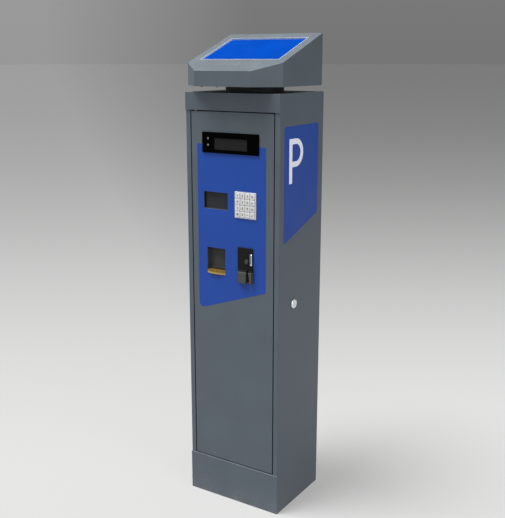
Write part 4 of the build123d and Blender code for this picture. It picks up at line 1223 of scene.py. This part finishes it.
@dataclass
class Head:
    """The swivelling head with its screen."""

    screw_radius: float = 3.0 * MM
    screw_depth: float = 1.6 * MM

    def base_screws(self) -> None:
        """Adds the screws that hold the underside plate."""
        low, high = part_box("head_base")
        rows = HardwareGrid("head_base_screws", 4, 2, (high.x - low.x) * 0.5, (high.y - low.y) - 24 * MM,
                            self.screw_radius, self.screw_depth, 16, 0.8, 1.3 * MM)
        centre = Vector(((low.x + high.x) / 2, (low.y + high.y) / 2, low.z - self.screw_depth / 2))
        rows.lay(centre, FACE_DOWN, "head", Finishes.BLACK_SCREW)

    def dress(self) -> None:
        """Finishes the head's nodes and adds its screws."""
        # The head's shell and base take the body's coat painted lighter, as painted light.
        dress(("head_shell", "head_base"), Finishes.HEAD_PAINTED_LIGHTER)
        dress(("screen_trim",), Finishes.TRIM)
        dress(("touch_glass",), Finishes.SCREEN)
        dress(("panel_computer",), Finishes.COMPUTER)
        self.base_screws()


# ---------------------------------------------------------------- studio
@dataclass
class SoftLight:
    """One very large, far studio light.

    Attributes:
        name: the light's name.
        bearing: degrees from the front, positive towards the right side.
        height: degrees above the floor.
        spread: how wide it looks from the object, in degrees.
        strength: its strength.
        tint: its colour.
        distance: where its marker stands. It has no effect on the light.
    """

    name: str
    bearing: float
    height: float
    spread: float
    strength: float
    tint: Colour = (1.0, 1.0, 1.0)
    distance: float = 4.0

    def build(self) -> None:
        """Adds the light."""
        data = bpy.data.lights.new(self.name, "SUN")
        data.angle = math.radians(self.spread)
        data.energy = self.strength
        data.color = self.tint
        lamp = bpy.data.objects.new(self.name, data)
        bearing, height = math.radians(self.bearing), math.radians(self.height)
        source = Vector((math.sin(bearing) * math.cos(height), -math.cos(bearing) * math.cos(height),
                         math.sin(height)))
        lamp.location = source * self.distance
        lamp.rotation_mode = "QUATERNION"
        lamp.rotation_quaternion = source.to_track_quat("Z", "Y")
        bpy.context.scene.collection.objects.link(lamp)


@dataclass
class Studio:
    """Floor, surroundings, lights and camera."""

    floor_radius: float = 300.0
    camera_place: Colour = (1.34006, -2.09937, 1.39131)
    camera_yaw: float = 32.715
    camera_pitch: float = 13.771
    lens: float = 56.366
    sensor_width: float = 36.0
    clip_end: float = 1000.0
    floor_sides: int = 96
    horizon: float = 0.182
    left_horizon: float = 0.315
    left_reach: float = 0.24
    zenith: float = 0.6
    floor_tone: Colour = (0.74, 0.74, 0.735)
    open_light: float = 2.1
    lights: tuple[SoftLight, ...] = (
        SoftLight("key_light", -45.0, 66.0, 30.0, 5.6),
        SoftLight("fill_light", 67.0, 24.0, 60.0, 1.42),
    )

    def ahead(self) -> Colour:
        """The level direction in which the camera looks."""
        yaw = math.radians(self.camera_yaw)
        return (-math.sin(yaw), math.cos(yaw), 0.0)

    def across(self) -> Colour:
        """The level direction to the right of the camera."""
        yaw = math.radians(self.camera_yaw)
        return (math.cos(yaw), math.sin(yaw), 0.0)

    def floor(self) -> None:
        """Adds the floor as a round sheet."""
        bm = bmesh.new()
        bmesh.ops.create_circle(bm, cap_ends=True, segments=self.floor_sides, radius=self.floor_radius)
        mesh = bpy.data.meshes.new("studio_floor")
        bm.to_mesh(mesh)
        bm.free()
        made = bpy.data.objects.new("studio_floor", mesh)
        # The floor's tones are painted light: a falloff with distance, a lighter left side and some emission.
        finish = StudioFloor("studio floor", self.floor_tone, 0.9, far=self.horizon,
                             far_left=self.left_horizon, left_reach=self.left_reach,
                             ahead=self.ahead(), across=self.across(),
                             light=self.open_light)
        mesh.materials.append(finish.material())
        bpy.context.scene.collection.objects.link(made)

    def surroundings(self) -> None:
        """Sets a soft dome: grey at the horizon, lighter to the left and overhead."""
        world = bpy.data.worlds.new("studio")
        world.use_nodes = True
        g = Graph(world.node_tree)
        direction = g.add("ShaderNodeTexCoord").outputs["Generated"]
        height = g.math("MAXIMUM", g.part(direction, 2), 0.0)
        right = g.dot(direction, self.across())
        low = g.span(right, self.left_horizon, self.horizon, -self.left_reach, 0.0)
        level = g.plus(low, g.times(g.math("POWER", height, 1.6), self.zenith))
        sky = world.node_tree.nodes["Background"]
        g.feed(sky, {0: (1.0, 1.0, 1.0, 1.0), 1: level})
        bpy.context.scene.world = world

    def camera(self) -> None:
        """Adds the camera."""
        data = bpy.data.cameras.new("camera")
        data.lens = self.lens
        data.sensor_width = self.sensor_width
        data.clip_end = self.clip_end
        yaw, pitch = math.radians(self.camera_yaw), math.radians(self.camera_pitch)
        look = Vector((-math.sin(yaw) * math.cos(pitch), math.cos(yaw) * math.cos(pitch), -math.sin(pitch)))
        made = bpy.data.objects.new("camera", data)
        made.location = self.camera_place
        made.rotation_mode = "QUATERNION"
        made.rotation_quaternion = look.to_track_quat("-Z", "Y")
        bpy.context.scene.collection.objects.link(made)
        bpy.context.scene.camera = made

    def build(self) -> None:
        """Adds everything round the machine."""
        bpy.context.scene.view_settings.view_transform = "Standard"
        self.floor()
        self.surroundings()
        for light in self.lights:
            light.build()
        self.camera()


def main() -> None:
    logging.basicConfig(level=logging.INFO, format="%(message)s")
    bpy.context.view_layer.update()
    for assembly in (Cabinet(), Door(), Head(), FrontGraphic(), SideGraphic(Side.RIGHT),
                     SideGraphic(Side.LEFT), KeyLegends()):
        assembly.dress()
        LOG.info("%s done", type(assembly).__name__)
    Studio().build()


if __name__ == "__main__":
    main()
